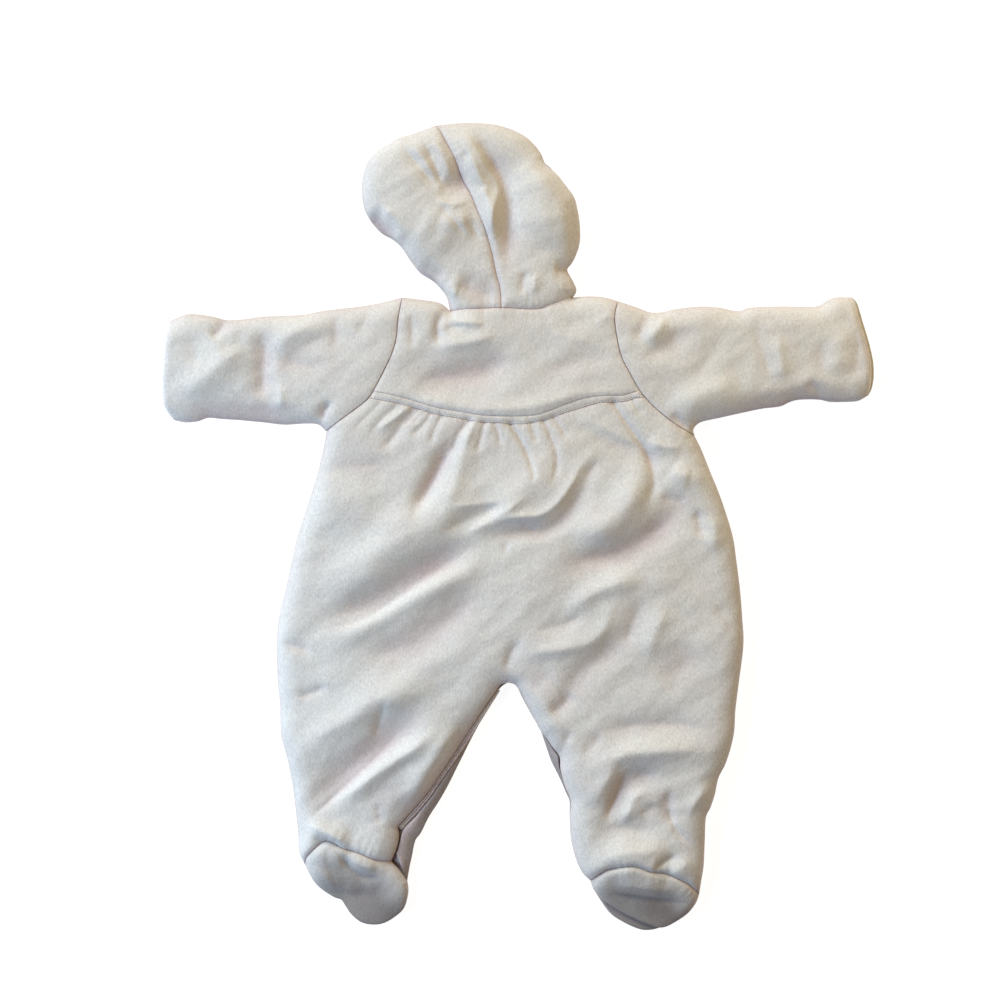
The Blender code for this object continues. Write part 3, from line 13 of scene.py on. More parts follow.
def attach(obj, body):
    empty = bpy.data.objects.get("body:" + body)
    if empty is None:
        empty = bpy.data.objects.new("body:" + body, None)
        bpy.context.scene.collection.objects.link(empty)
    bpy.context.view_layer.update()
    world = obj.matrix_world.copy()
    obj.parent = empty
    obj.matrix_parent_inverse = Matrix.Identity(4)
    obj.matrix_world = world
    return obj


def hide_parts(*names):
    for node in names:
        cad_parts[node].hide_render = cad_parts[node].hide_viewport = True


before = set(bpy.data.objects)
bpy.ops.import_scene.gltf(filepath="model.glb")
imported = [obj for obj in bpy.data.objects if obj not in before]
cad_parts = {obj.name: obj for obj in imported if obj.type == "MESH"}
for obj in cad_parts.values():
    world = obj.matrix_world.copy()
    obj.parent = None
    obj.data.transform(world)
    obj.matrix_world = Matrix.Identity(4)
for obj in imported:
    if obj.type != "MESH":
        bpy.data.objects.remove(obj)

bl_info = {
    "name": "Baby snowsuit",
    "version": (1, 0, 0),
    "blender": (4, 5, 0),
    "location": "3D View > Sidebar > Snowsuit",
    "description": "Builds a padded baby snowsuit with its folds, seams and stitches",
    "category": "Add Mesh",
}

MM = 0.001

# Outlines and seams as seen from above, in millimetres: each row is a line through places
ROUTES = {
    "left side upper": ((-169, 84), (-172, 68), (-177, 47), (-186, 18), (-195, -10), (-200, -32),
                        (-205, -55), (-211, -80), (-213, -104), (-212, -137)),
    "left side lower": ((-212, -137), (-210, -157), (-209, -183), (-204, -202), (-199, -227),
                        (-196, -251), (-194, -271), (-193, -286), (-188, -297)),
    "right side upper": ((155, 80), (161, 68), (169, 48), (176, 31), (183, 11), (189, -10),
                         (192, -31), (195, -55), (197, -80), (198, -104), (194, -137)),
    "right side lower": ((194, -137), (191, -161), (190, -179), (187, -194), (182, -209),
                         (176, -221), (173, -235), (169, -247), (165, -256), (164, -277),
                         (163, -298), (161, -311), (159, -323)),
    "left armhole": ((-102, 202), (-105, 184), (-107, 165), (-111, 151), (-118, 136), (-126, 121),
                     (-131, 113), (-139, 106), (-154, 95), (-169, 84)),
    "right armhole": ((87, 199), (84, 184), (86, 166), (90, 149), (97, 135), (105, 121),
                      (111, 113), (123, 101), (139, 89), (155, 80)),
    "left shoulder": ((-102, 202), (-85, 200), (-69, 197), (-60, 190)),
    "right shoulder": ((48, 202), (63, 203), (76, 202), (87, 199)),
    "neck": ((-60, 190), (-43, 191), (-15, 192), (15, 191), (29, 195), (48, 202)),
    "band top": ((-127, 119), (-104, 114), (-87, 109), (-69, 104), (-51, 101), (-34, 98),
                 (-16, 97), (1, 97), (15, 98), (28, 102), (38, 106), (52, 111), (65, 114),
                 (77, 115), (89, 115), (98, 117), (106, 120)),
    "band low": ((-131, 113), (-104, 108), (-87, 103), (-69, 98), (-51, 95), (-34, 92),
                 (-16, 91), (1, 90), (15, 92), (28, 95), (38, 99), (54, 104), (72, 109),
                 (81, 109), (94, 110), (103, 113), (111, 113)),
    "centre back": ((-9, 90.6), (-9, 20), (-9, -60), (-9, -137)),
    "left leg inner": ((-9, -137), (-15.5, -139), (-23, -149), (-33, -163.5), (-45, -182.5),
                       (-54, -196), (-67, -215.5), (-75, -227.5), (-83, -238.5), (-93, -250),
                       (-100, -257.5), (-106, -264)),
    "left ankle": ((-106, -264), (-105, -272), (-107, -282), (-112, -294)),
    "right leg inner": ((-9, -137), (-2, -140), (7, -156), (19, -179), (24, -185), (30, -194),
                        (36, -202), (37, -214), (41, -228), (46, -241), (45, -256),
                        (46, -274), (50, -291), (56, -304), (63, -311)),
    "leg band outer": ((-16, -144), (-27, -161.5), (-41, -184), (-50, -198), (-63.5, -217.5),
                       (-71.5, -229.5), (-79, -240), (-89.5, -252.5), (-97, -260),
                       (-103, -267)),
    "left leg front": ((-9, -137), (-16, -142), (-24, -154), (-33, -171), (-41, -186),
                       (-48, -200), (-55, -214), (-62, -228), (-70, -242), (-79, -256),
                       (-86, -270), (-91, -277), (-94, -291), (-96, -300), (-98, -312)),
    "right leg front": ((-9, -137), (-2, -140), (3, -150), (11, -165), (19, -179), (24, -193),
                        (29, -207), (36, -221), (42, -235), (45, -242), (45, -256), (46, -270),
                        (49, -284), (54, -298), (63, -311)),
    "left heel": ((-188, -297), (-186, -290), (-181, -284), (-173, -277), (-166, -275),
                  (-154, -281), (-139, -286), (-125, -292), (-112, -294)),
    "left sole inner": ((-112, -294), (-107, -299), (-103, -304), (-98, -312)),
    "left toe": ((-188, -297), (-184, -305), (-180, -312), (-173, -319), (-162, -326),
                 (-156, -328), (-152, -334), (-147, -341), (-138, -348), (-127, -350),
                 (-117, -348), (-106, -341), (-100, -334), (-97, -322), (-98, -312)),
    "right heel": ((63, -311), (72, -304), (79, -300), (93, -297), (103, -297), (117, -302),
                   (130, -304), (147, -312), (159, -323)),
    "right toe": ((63, -311), (66, -319), (72, -329), (81, -341), (93, -349), (107, -355),
                  (117, -355.5), (126, -353), (139, -347), (149, -340), (156, -331), (159, -323)),
    "right sole edge": ((63, -311), (66, -319), (73, -327), (83, -334), (95, -341), (108, -347),
                        (121, -352), (129, -352), (139, -347), (149, -340), (156, -331),
                        (159, -323)),
    "left sleeve top": ((-307, 181), (-293, 187), (-282, 187), (-268, 185), (-256, 182),
                        (-240, 183), (-226, 185), (-201, 186), (-187, 187), (-173, 190),
                        (-157, 192), (-139, 194), (-122, 197), (-102, 202)),
    "left sleeve low": ((-303, 94), (-293, 92), (-282, 93), (-273, 96), (-261, 95), (-245, 94),
                        (-235, 93), (-224, 92), (-206, 90), (-187, 91), (-176, 90), (-169, 84)),
    "left cuff": ((-307, 181), (-310, 169), (-312, 154), (-313.5, 129), (-313, 112), (-310, 103),
                  (-303, 94)),
    "right sleeve top": ((294, 202), (279, 202), (271, 199), (261, 194), (230, 194), (204, 193),
                         (193, 190), (177, 193), (161, 194), (140, 192), (126, 189), (116, 189),
                         (105, 193), (96, 196), (87, 199)),
    "right sleeve low": ((308, 116), (299, 111), (288, 110), (274, 110), (264, 112), (248, 112),
                         (239, 110), (230, 106), (214, 104), (195, 100), (177, 96), (160, 92),
                         (154, 86), (155, 80)),
    "right cuff": ((294, 202), (297, 195), (300, 182), (305, 166), (308, 154), (310, 143),
                   (310, 129), (309, 121), (308, 116)),
    "right cuff under": ((294, 202), (298.5, 196), (302.5, 182), (307.5, 166), (310.5, 154),
                         (312.5, 143), (312.5, 129), (310.5, 121), (308, 116)),
    "hood right": ((48, 202), (51, 208), (48, 216), (44, 223), (43, 227), (47, 232), (51, 240),
                   (54, 251), (54, 265), (52, 279), (49, 290), (42, 300), (33, 311), (24, 319),
                   (20, 328), (15, 335), (8, 342), (-2, 348), (-16, 353), (-29, 355),
                   (-43, 355.5), (-56, 355), (-73, 353)),
    "hood left": ((-60, 190), (-63, 202), (-68, 209), (-75, 216), (-86, 223), (-92, 230),
                  (-97, 237), (-103, 246), (-111, 253), (-120, 258), (-127, 265), (-132, 272),
                  (-136, 281), (-138, 295), (-137, 307), (-133, 320), (-127, 328), (-117, 335),
                  (-105, 342), (-95, 345), (-81, 350), (-73, 353)),
    "hood seam": ((-15, 192), (-16, 209), (-19, 220), (-23, 239), (-29, 260), (-36, 277),
                  (-42, 292), (-49, 305), (-56, 323), (-64, 338), (-69, 348), (-73, 353)),
    "brim right": ((32, 203), (30, 211), (30, 218), (33, 232), (38, 247), (40, 262), (38, 278),
                   (30, 292), (16, 302), (4, 312), (-10, 321), (-26, 322), (-42, 322),
                   (-55, 320)),
    "brim left": ((-46, 193), (-50, 206), (-58, 219), (-72, 230), (-86, 242), (-98, 256),
                  (-112, 267), (-120, 277), (-123, 292), (-119, 306), (-106, 312), (-92, 317),
                  (-76, 319), (-55, 320)),
    "front neckline": ((-60, 190), (-54, 178), (-38, 163), (-9, 156), (19, 163), (38, 180),
                       (48, 202)),
}

Fold = namedtuple("Fold", "name rise width route")

# Soft folds of the padded cloth: how far each lifts or sinks it, its half width, and its way
FOLDS = (
    # gathers below the yoke band
    Fold("gather 1", -1.0, 3, ((-122, 108), (-134, 96), (-146, 84))),
    Fold("gather 2", -1.3, 3, ((-108, 105), (-120, 94), (-132, 80))),
    Fold("gather 3 ridge", 1.6, 3, ((-98, 103), (-110, 94), (-124, 85))),
    Fold("gather 3", -3.0, 5, ((-93, 102), (-101, 93), (-108, 81), (-122, 64))),
    Fold("gather 4", -1.4, 2.5, ((-87, 103), (-95, 95), (-101, 87))),
    Fold("gather 5", -1.0, 2.5, ((-82, 101), (-90, 94), (-95, 88))),
    Fold("gather 6", -1.8, 4, ((-77, 99), (-84, 89), (-95, 78))),
    Fold("gather 7", -1.6, 3, ((-68, 96), (-74, 84), (-77, 70))),
    Fold("gather 8", -3.0, 4, ((-44, 92), (-51, 84), (-56, 73), (-59, 60))),
    Fold("gather 8 ridge", 1.8, 4, ((-38, 92), (-44, 80), (-48, 66))),
    Fold("gather 9", -2.0, 3, ((-30, 91), (-33, 79), (-37, 62))),
    Fold("gather 10", -1.6, 2.5, ((-21, 90), (-17, 80), (-16, 70))),
    Fold("gather 11", -2.6, 2.6, ((-7, 90), (1, 78), (9, 61), (13, 46), (12, 33))),
    Fold("gather 12", -1.6, 2.6, ((11, 91), (14, 81), (17, 72))),
    Fold("gather 13", -2.0, 3, ((22, 93), (28, 80), (33, 66), (33, 50), (26, 34))),
    Fold("gather 14", -1.6, 3, ((30, 96), (38, 86), (44, 76))),
    Fold("gather 15", -2.4, 2.8, ((83, 109), (93, 94), (106, 75), (113, 64), (117, 52), (118, 36))),
    Fold("gather 16", -1.2, 3, ((98, 113), (104, 104), (112, 97))),
    # back, left half
    Fold("chest trough", -6.4, 8.2, ((-57, 88), (-67, 60), (-79, 36), (-88, 18), (-95, 0))),
    Fold("chest line", -2.0, 3, ((-52, 82), (-58, 70), (-67, 56), (-79, 33), (-89, 12))),
    Fold("chest ridge", 2.5, 8.8, ((-44, 84), (-51, 54), (-61, 24), (-74, 6))),
    Fold("side trough high", -2.2, 9, ((-180, 44), (-150, 52), (-106, 56))),
    Fold("side ridge high", 2.6, 17, ((-186, 14), (-150, 18), (-112, 20))),
    Fold("waist shelf", 5.8, 23, ((-16, 30), (-58, 15), (-98, -8), (-132, -36), (-166, -62),
            (-190, -78))),
    Fold("waist trough", -8.4, 14.5, ((-30, -6), (-56, -21), (-90, -43), (-120, -62), (-148, -77),
            (-178, -92))),
    Fold("waist line", -2.4, 3.4, ((-32, -11), (-60, -30), (-89, -48), (-132, -79), (-172, -91))),
    Fold("waist ridge", 6.2, 11, ((-26, -26), (-50, -41), (-72, -51), (-96, -64), (-122, -79),
            (-152, -93), (-182, -101))),
    Fold("hip trough", -4.8, 15, ((-14, -56), (-46, -70), (-78, -92), (-112, -110), (-148, -121))),
    Fold("hip wrinkle", -2.6, 5, ((-208, -101), (-194, -105), (-180, -111))),
    Fold("hip wrinkle low", -2.4, 5, ((-196, -148), (-182, -146), (-166, -138))),
    Fold("pocket trough", -3.0, 7, ((-8, 22), (-30, 14), (-52, 3), (-70, -8))),
    Fold("pocket ridge", 2.6, 4.5, ((10, 30), (-5, 18), (-22, 7), (-40, -4), (-48, -13))),
    Fold("pocket lip", 1.8, 4, ((-8, 23), (-34, 20), (-62, 17))),
    # back, middle
    Fold("chest shelf", 4.2, 16, ((22, 68), (12, 42), (-8, 24), (-30, 12))),
    Fold("centre ridge", 3.6, 5, ((68, 66), (55, 53), (45, 36), (34, 21), (20, 11), (4, 9),
            (-12, 7), (-26, 0), (-38, -9))),
    Fold("centre crease", -4.5, 8, ((74, 57), (62, 44), (53, 28), (42, 11), (24, -2), (2, -4),
            (-20, -9), (-34, -17))),
    Fold("centre tuck", -1.4, 3.5, ((72, 60), (63, 50), (57, 42))),
    Fold("centre slit", -1.2, 2.4, ((3, 5), (9, -1), (17, -4))),
    Fold("centre slit low", -1.4, 2.2, ((-11, -12), (-12, -26))),
    Fold("centre bulge", 7.2, 15.5, ((102, 58), (103, 38), (95, 19), (80, 5), (62, -5), (42, -12))),
    Fold("seat trough", -6.4, 11, ((150, 27), (137, 12), (122, -2), (104, -14), (84, -23),
            (60, -29), (36, -36))),
    Fold("seat ridge", 4.2, 9.9, ((112, -42), (86, -49), (62, -60), (38, -78))),
    Fold("seat trough low", -2.0, 6, ((58, -66), (50, -80), (30, -88), (8, -92))),
    Fold("seat ridge low", 3.8, 8.8, ((79, -60), (77, -85), (62, -101), (36, -107), (12, -110),
            (1, -124))),
    Fold("crotch crease", -2.4, 5, ((-12, -130), (-7, -112), (2, -96))),
    Fold("crotch hollow", -1.8, 10, ((34, -126), (18, -136), (6, -146))),
    Fold("thigh fall right", -3.1, 12, ((96, -84), (74, -112), (52, -132), (34, -160))),
    # back, right half
    Fold("yoke hollow right", -1.8, 10, ((40, 86), (56, 85), (74, 78), (92, 71), (110, 64),
            (122, 57), (140, 57), (155, 66))),
    Fold("yoke ridge right", 1.4, 6, ((44, 97), (72, 88), (92, 78), (106, 71), (116, 60))),
    Fold("armhole ridge right", 2.2, 5, ((112, 77), (128, 70), (144, 71))),
    Fold("side trough right", -2.4, 5, ((98, 80), (112, 66), (118, 48), (117, 32), (108, 14))),
    Fold("chest bump right", 4.2, 10, ((133, 52), (142, 46), (152, 44))),
    Fold("chest dent right", -2.2, 7, ((124, 30), (136, 23), (150, 26))),
    Fold("flank trough right", -2.4, 5, ((156, 18), (158, 4), (162, -12))),
    Fold("flank ridge right", 2.5, 7.7, ((172, 12), (172, -6), (168, -24))),
    Fold("thigh trough right", -2.3, 7.7, ((112, -62), (99, -86), (95, -110))),
    Fold("thigh ridge right", 2.7, 9, ((132, -66), (119, -92), (113, -118))),
    Fold("thigh hollow right", -2.8, 14, ((148, -96), (142, -120), (122, -142))),
    Fold("thigh dent right", -1.4, 6, ((170, -66), (182, -80), (186, -96))),
    # left leg
    Fold("thigh arc", 5.6, 14.3, ((-70, -129), (-104, -144), (-128, -152), (-152, -170),
            (-172, -184), (-190, -210))),
    Fold("thigh trough", -6.4, 13.2, ((-76, -152), (-100, -174), (-125, -194), (-150, -216),
            (-174, -236), (-192, -250))),
    Fold("thigh line", -2.6, 3.4, ((-100, -174), (-118, -195), (-135, -212), (-159, -234),
            (-188, -260))),
    Fold("thigh ridge", 5.6, 8.8, ((-60, -166), (-84, -188), (-106, -203), (-130, -219),
            (-152, -236), (-172, -250))),
    Fold("thigh furrow", -2.2, 5, ((-116, -150), (-121, -168), (-127, -188))),
    Fold("shin slot", -1.6, 8, ((-85, -197), (-108, -215), (-124, -231), (-140, -240))),
    Fold("shin ridge", 5.9, 9.9, ((-50, -170), (-70, -200), (-88, -228), (-102, -250))),
    Fold("inner leg fall", -8.0, 16, ((-20, -150), (-46, -192), (-74, -232), (-98, -262),
            (-110, -288))),
    Fold("ankle notch", -1.3, 4.5, ((-125, -240), (-122, -252), (-121, -264))),
    Fold("heel ridge", 4.7, 7.5, ((-190, -258), (-176, -263), (-160, -271), (-146, -279))),
    Fold("ankle hollow", -2.6, 6, ((-183, -272), (-168, -275), (-152, -281))),
    Fold("heel rise left", 4.0, 20, ((-182, -284), (-164, -287), (-146, -290))),
    Fold("sole puff", 3.4, 7, ((-178, -298), (-168, -308), (-152, -319), (-134, -323))),
    Fold("sole fold", -4.2, 3.4, ((-161, -281), (-150, -295), (-137, -306), (-118, -307))),
    Fold("sole lobe left", 2.6, 6, ((-150, -289), (-136, -296), (-122, -299))),
    Fold("sole fold low", -3.4, 5.5, ((-166, -320), (-146, -324), (-128, -322))),
    # right leg
    Fold("knee trough right", -3.1, 8.8, ((60, -186), (82, -178), (120, -173), (176, -176))),
    Fold("knee ridge right", 4.6, 9.9, ((50, -216), (78, -203), (104, -197), (140, -195),
            (180, -196))),
    Fold("knee crease right", -3.9, 7.7, ((50, -144), (39, -155), (26, -166))),
    Fold("knee tuck right", -2.2, 5, ((46, -176), (40, -190), (36, -204))),
    Fold("knee slot right", -1.9, 7, ((74, -178), (64, -192), (54, -200))),
    Fold("shin shelf right", 2.8, 8.8, ((90, -204), (81, -214), (73, -230), (62, -247))),
    Fold("shin valley right", -4.3, 9.4, ((134, -216), (106, -219), (91, -230), (83, -245),
            (75, -263))),
    Fold("shin line right", -2.4, 3.6, ((104, -214), (94, -217), (88, -231), (80, -249),
            (77, -262))),
    Fold("shin ridge right", 2.5, 6, ((118, -232), (103, -236), (97, -248), (88, -262))),
    Fold("shin dimple right", -1.4, 6, ((119, -240), (114, -248), (104, -252))),
    Fold("ankle trough right", -2.4, 7, ((134, -226), (130, -246), (136, -264))),
    Fold("ankle bump right", 2.2, 6.5, ((170, -224), (155, -240), (148, -256))),
    Fold("ankle crease right", -1.8, 3, ((132, -236), (133, -250), (138, -265), (148, -275),
            (157, -284))),
    Fold("ankle ridge right", 3.6, 8.8, ((64, -297), (90, -285), (114, -283), (134, -279))),
    Fold("ankle low trough right", -2.5, 8.8, ((62, -266), (88, -264), (122, -267))),
    Fold("heel pucker right", -2.4, 3.2, ((116, -302), (126, -294), (141, -286))),
    Fold("heel bump right", 1.8, 6, ((132, -305), (142, -298), (152, -290))),
    Fold("heel rise right", 6.0, 20, ((78, -300), (104, -298), (134, -304))),
    Fold("sole puff right", 3.2, 7, ((84, -312), (112, -317), (140, -318))),
    Fold("sole fold right", -4.2, 3.6, ((76, -322), (98, -323), (120, -327), (150, -331))),
    # left sleeve
    Fold("cuff crease left", -4.1, 5, ((-256, 184), (-261, 174), (-270, 164))),
    Fold("cuff dent left", -1.3, 8.1, ((-286, 168), (-284, 152), (-288, 140))),
    Fold("sleeve ridge low left", 5.6, 12, ((-306, 112), (-286, 122), (-266, 136), (-250, 150),
            (-232, 160))),
    Fold("sleeve trough left", -5.0, 9, ((-228, 176), (-223, 158), (-224, 140), (-224, 122),
            (-226, 106))),
    Fold("sleeve dent left", -1.3, 8.1, ((-264, 158), (-248, 160), (-236, 166))),
    Fold("elbow ridge left", 3.0, 10, ((-222, 152), (-204, 165), (-186, 175), (-167, 186))),
    Fold("elbow trough left", -2.1, 9, ((-214, 142), (-199, 150), (-184, 160), (-164, 171))),
    Fold("upper arm trough left", -2.0, 6.8, ((-161, 190), (-160, 170), (-163, 152))),
    Fold("lower arm trough left", -1.7, 6.8, ((-216, 140), (-200, 143), (-184, 141), (-164, 143))),
    Fold("lower arm streak left", 2.1, 5.4, ((-209, 126), (-208, 114), (-209, 102))),
    Fold("sleeve fall left", -6.0, 15, ((-304, 96), (-270, 96), (-230, 95), (-180, 93))),
    Fold("shoulder dent left", -1.7, 5.4, ((-128, 192), (-135, 180), (-143, 168))),
    Fold("underarm pucker left", -4.5, 4, ((-171, 91), (-171, 101), (-163, 110))),
    # right sleeve
    Fold("shoulder furrow right", -2.6, 6.8, ((116, 189), (108, 174), (103, 160))),
    Fold("shoulder ridge right", 3.6, 6.8, ((130, 186), (121, 172), (110, 160))),
    Fold("shoulder trough right", -1.8, 8.1, ((141, 180), (134, 164), (120, 153), (104, 149))),
    Fold("sleeve ridge right", 3.7, 11.9, ((134, 99), (150, 110), (174, 120), (198, 123))),
    Fold("sleeve trough right", -1.6, 10.4, ((154, 180), (144, 166), (136, 152), (130, 140))),
    Fold("arm furrow right", -1.4, 6.8, ((180, 168), (172, 156), (160, 138), (146, 128))),
    Fold("elbow trough right", -1.5, 6.1, ((207, 186), (210, 165), (216, 146), (222, 120))),
    Fold("elbow ridge right", 2.1, 6.8, ((227, 172), (229, 146), (235, 124))),
    Fold("forearm trough right", -1.5, 8.1, ((262, 166), (266, 148), (265, 126))),
    Fold("cuff trough right", -1.3, 6.1, ((294, 180), (297, 156), (294, 126))),
    Fold("cuff ridge right", 1.9, 10.4, ((278, 180), (281, 156), (276, 130))),
    Fold("cuff notch right", -2.3, 5, ((265, 111), (261, 121), (250, 126))),
    Fold("sleeve fall right", -4.2, 8.8, ((170, 98), (226, 108), (300, 113))),
    Fold("underarm pucker right", -3.6, 5, ((150, 84), (142, 92), (132, 100))),
    # yoke
    Fold("neck trough left", -3.4, 3.8, ((-62, 192), (-70, 181), (-71, 169), (-67, 157))),
    Fold("shoulder trough left", -2.0, 4, ((-96, 190), (-93, 172), (-94, 154))),
    Fold("neck ridge", 2.4, 4, ((-64, 181), (-46, 179), (-28, 178))),
    Fold("neck hollow", -2.0, 4, ((-66, 173), (-56, 175), (-46, 175))),
    Fold("yoke ridge", 3.4, 7, ((-76, 155), (-56, 160), (-36, 163), (-16, 171))),
    Fold("yoke trough", -5.4, 12.5, ((-100, 126), (-64, 131), (-38, 135), (-16, 145), (-2, 160))),
    Fold("yoke ridge far", 1.6, 8.8, ((18, 172), (48, 165), (82, 160))),
    Fold("yoke trough far", -1.8, 9.5, ((8, 134), (38, 141), (62, 147), (86, 149))),
    Fold("band ridge", 2.2, 6, ((-116, 120), (-80, 112), (-45, 105), (0, 104), (30, 110),
            (60, 118), (102, 120))),
    Fold("shoulder streak far", 1.4, 4, ((66, 176), (74, 182), (83, 190))),
    # hood
    Fold("hood fold", 5.5, 8, ((-54, 350), (-42, 325), (-32, 300), (-25, 280), (-23, 258),
            (-20, 240))),
    Fold("hood valley", -6.5, 8.5, ((-42, 353), (-28, 325), (-14, 300), (-9, 270), (-10, 240),
            (-12, 218))),
    Fold("hood strip edge", 3.4, 4.2, ((-52, 352), (-40, 334), (-28, 315), (-18, 298), (-21, 280),
            (-23, 263), (-16, 236))),
    Fold("hood hollow", -5.0, 11, ((-66, 306), (-54, 300), (-42, 303))),
    Fold("hood hollow fall", -2.2, 8, ((-58, 326), (-52, 310), (-46, 298))),
    Fold("hood step", 5.0, 12, ((-70, 272), (-54, 267), (-38, 268))),
    Fold("hood lip", 2.2, 3.6, ((-75, 288), (-60, 282), (-43, 285))),
    Fold("hood pleat trough", -2.6, 4, ((-86, 341), (-76, 323), (-69, 305), (-62, 291))),
    Fold("hood pleat ridge", 2.2, 4.5, ((-77, 344), (-67, 326), (-60, 309), (-55, 297))),
    Fold("hood far pleat trough", -2.6, 4.5, ((-106, 336), (-93, 323), (-80, 307), (-71, 292))),
    Fold("hood far pleat ridge", 2.0, 4.5, ((-98, 339), (-86, 325), (-76, 311), (-69, 298))),
    Fold("hood dome left", 4.5, 32, ((-104, 312), (-92, 290))),
    Fold("hood lobe", 3.6, 18, ((-92, 266), (-74, 256), (-56, 246))),
    Fold("hood base fall", -5.0, 13, ((-58, 214), (-36, 206), (-14, 204))),
    Fold("hood dome right", 6.5, 27, ((-2, 325), (16, 300), (24, 268), (20, 240))),
    Fold("hood curl", -8.5, 8, ((-134, 274), (-119, 261), (-110, 249))),
    Fold("hood curl line", -2.2, 2.6, ((-118, 276), (-109, 265), (-106, 250))),
    Fold("hood curl edge", 3.0, 5, ((-122, 284), (-112, 271), (-106, 257), (-102, 247))),
    Fold("hood low trough", -2.8, 7.5, ((-88, 231), (-76, 223), (-64, 217))),
    Fold("hood neck bump", 4.0, 8, ((-66, 208), (-52, 203))),
    Fold("hood neck tuck", -2.4, 3, ((-62, 204), (-61, 190))),
    Fold("hood wrinkle low", -2.0, 3.5, ((-70, 282), (-56, 267), (-44, 252))),
    Fold("hood wrinkle seam", -1.6, 3.5, ((-50, 272), (-40, 262), (-34, 250))),
    Fold("hood strip pucker", -1.6, 3.5, ((-50, 328), (-42, 322))),
    Fold("hood strip pucker low", -1.8, 4, ((-38, 300), (-28, 296))),
    Fold("hood furrow right", -2.2, 4.5, ((8, 226), (4, 214), (2, 202))),
    Fold("hood ridge right", 1.8, 5, ((16, 224), (14, 212), (13, 203))),
    Fold("hood edge furrow", -2.0, 2.6, ((42, 292), (48, 270), (47, 246), (41, 227))),
    Fold("hood notch right", -3.5, 5, ((30, 226), (40, 225), (50, 227))),
)

# Narrow folds are sharp along their middles and broad ones are round
SHARP_WIDTH, SHARP = 4.0, 1.3
ROUND_WIDTH, ROUND = 12.0, 1.8

# How far from its route a fold is worked out, in its widths. Its ends fade by a share over a
# part of its length, and less where it is short for its width
FOLD_REACH = 3.2
END_FADE = 0.95
END_PART = 0.35
END_LENGTH = 0.3

Seam = namedtuple("Seam", "line depth spread pitch pucker")

# Stitched seams: how deep and wide they draw the padding down, and the pitch of their puckers
SEAMS = (
    Seam("left armhole", 1.5, 4.0, 11, 0.4),
    Seam("right armhole", 1.1, 3.0, 12, 0.3),
    Seam("neck", 2.2, 3.0, 10, 0.4),
    Seam("band top", 0.7, 1.5, 9, 0.1),
    Seam("band low", 0.9, 2.2, 8, 0.3),
    Seam("left heel", 4.4, 2.6, 9, 0.35),
    Seam("right heel", 4.4, 2.6, 9, 0.35),
    Seam("hood seam", 3.0, 3.0, 8, 0.25),
    Seam("band middle", 0.4, 0.9, 7, 0.0),
    Seam("left hem", 0.6, 1.1, 6, 0.1),
    Seam("right hem", 0.6, 1.1, 6, 0.1),
)

# Puckers along a seam: how far they are worked out, how their spacing wanders, and the
# distances over which they start and fade beside it
PUCKER_REACH = 40
PUCKER_WANDER, PUCKER_TURN = 3, 1.7
PUCKER_START, PUCKER_FADE = 2.5, 8

# Free edges that round down from above
TOP_EDGES = ("left side upper", "left side lower", "right side upper", "right side lower",
             "left shoulder", "right shoulder", "left leg inner", "left ankle",
             "right leg inner", "left sole inner", "left toe", "right sole edge",
             "left sleeve top", "left sleeve low", "right sleeve top", "right sleeve low",
             "hood right", "hood left")
SLEEVE_EDGES = ("left sleeve top", "left sleeve low", "right sleeve top", "right sleeve low")

# Distances to an edge are worked out up to this
EDGE_REACH = 20

# Steps inwards from an edge or a seam, where the mesh is finer
EDGE_STEPS = (0.0, 0.5, 1.2, 2.1, 3.3, 4.8, 6.6, 8.7, 11.0)
UNDER_STEPS = (0.0, 0.5, 1.4, 2.8, 4.6, 6.6, 9.0)
SEAM_STEPS = (0.0, 0.7, 1.6, 2.8, 4.2)

# The front layer's wall, from its inner face to the table: how far in, and how high
FRONT_WALL = ((2.4, 1.0), (1.4, 0.97), (0.6, 0.91), (0.1, 0.81), (0.0, 0.68), (0.3, 0.45),
              (1.0, 0.26), (2.2, 0.12), (3.8, 0.03), (6.0, 0.0))
PUFF_STEPS = (0.14, 0.3, 0.46, 0.62, 0.76, 0.88, 0.94, 1.0)

Rumple = namedtuple("Rumple", "wave stretch rise turn seed")

# Unevenness of the padding and the cloth over it, from broad to fine: the size of its rises,
# how many times longer they are one way, their height and the way they run
RUMPLES = (
    Rumple(60, 1.5, 1.4, 0.6, 3),
    Rumple(27, 1.8, 0.8, 0.7, 5),
    Rumple(14, 2.0, 0.5, 0.5, 8),
    Rumple(7, 1.4, 0.16, 0.9, 11),
)


# ---------------------------------------------------------------- settings


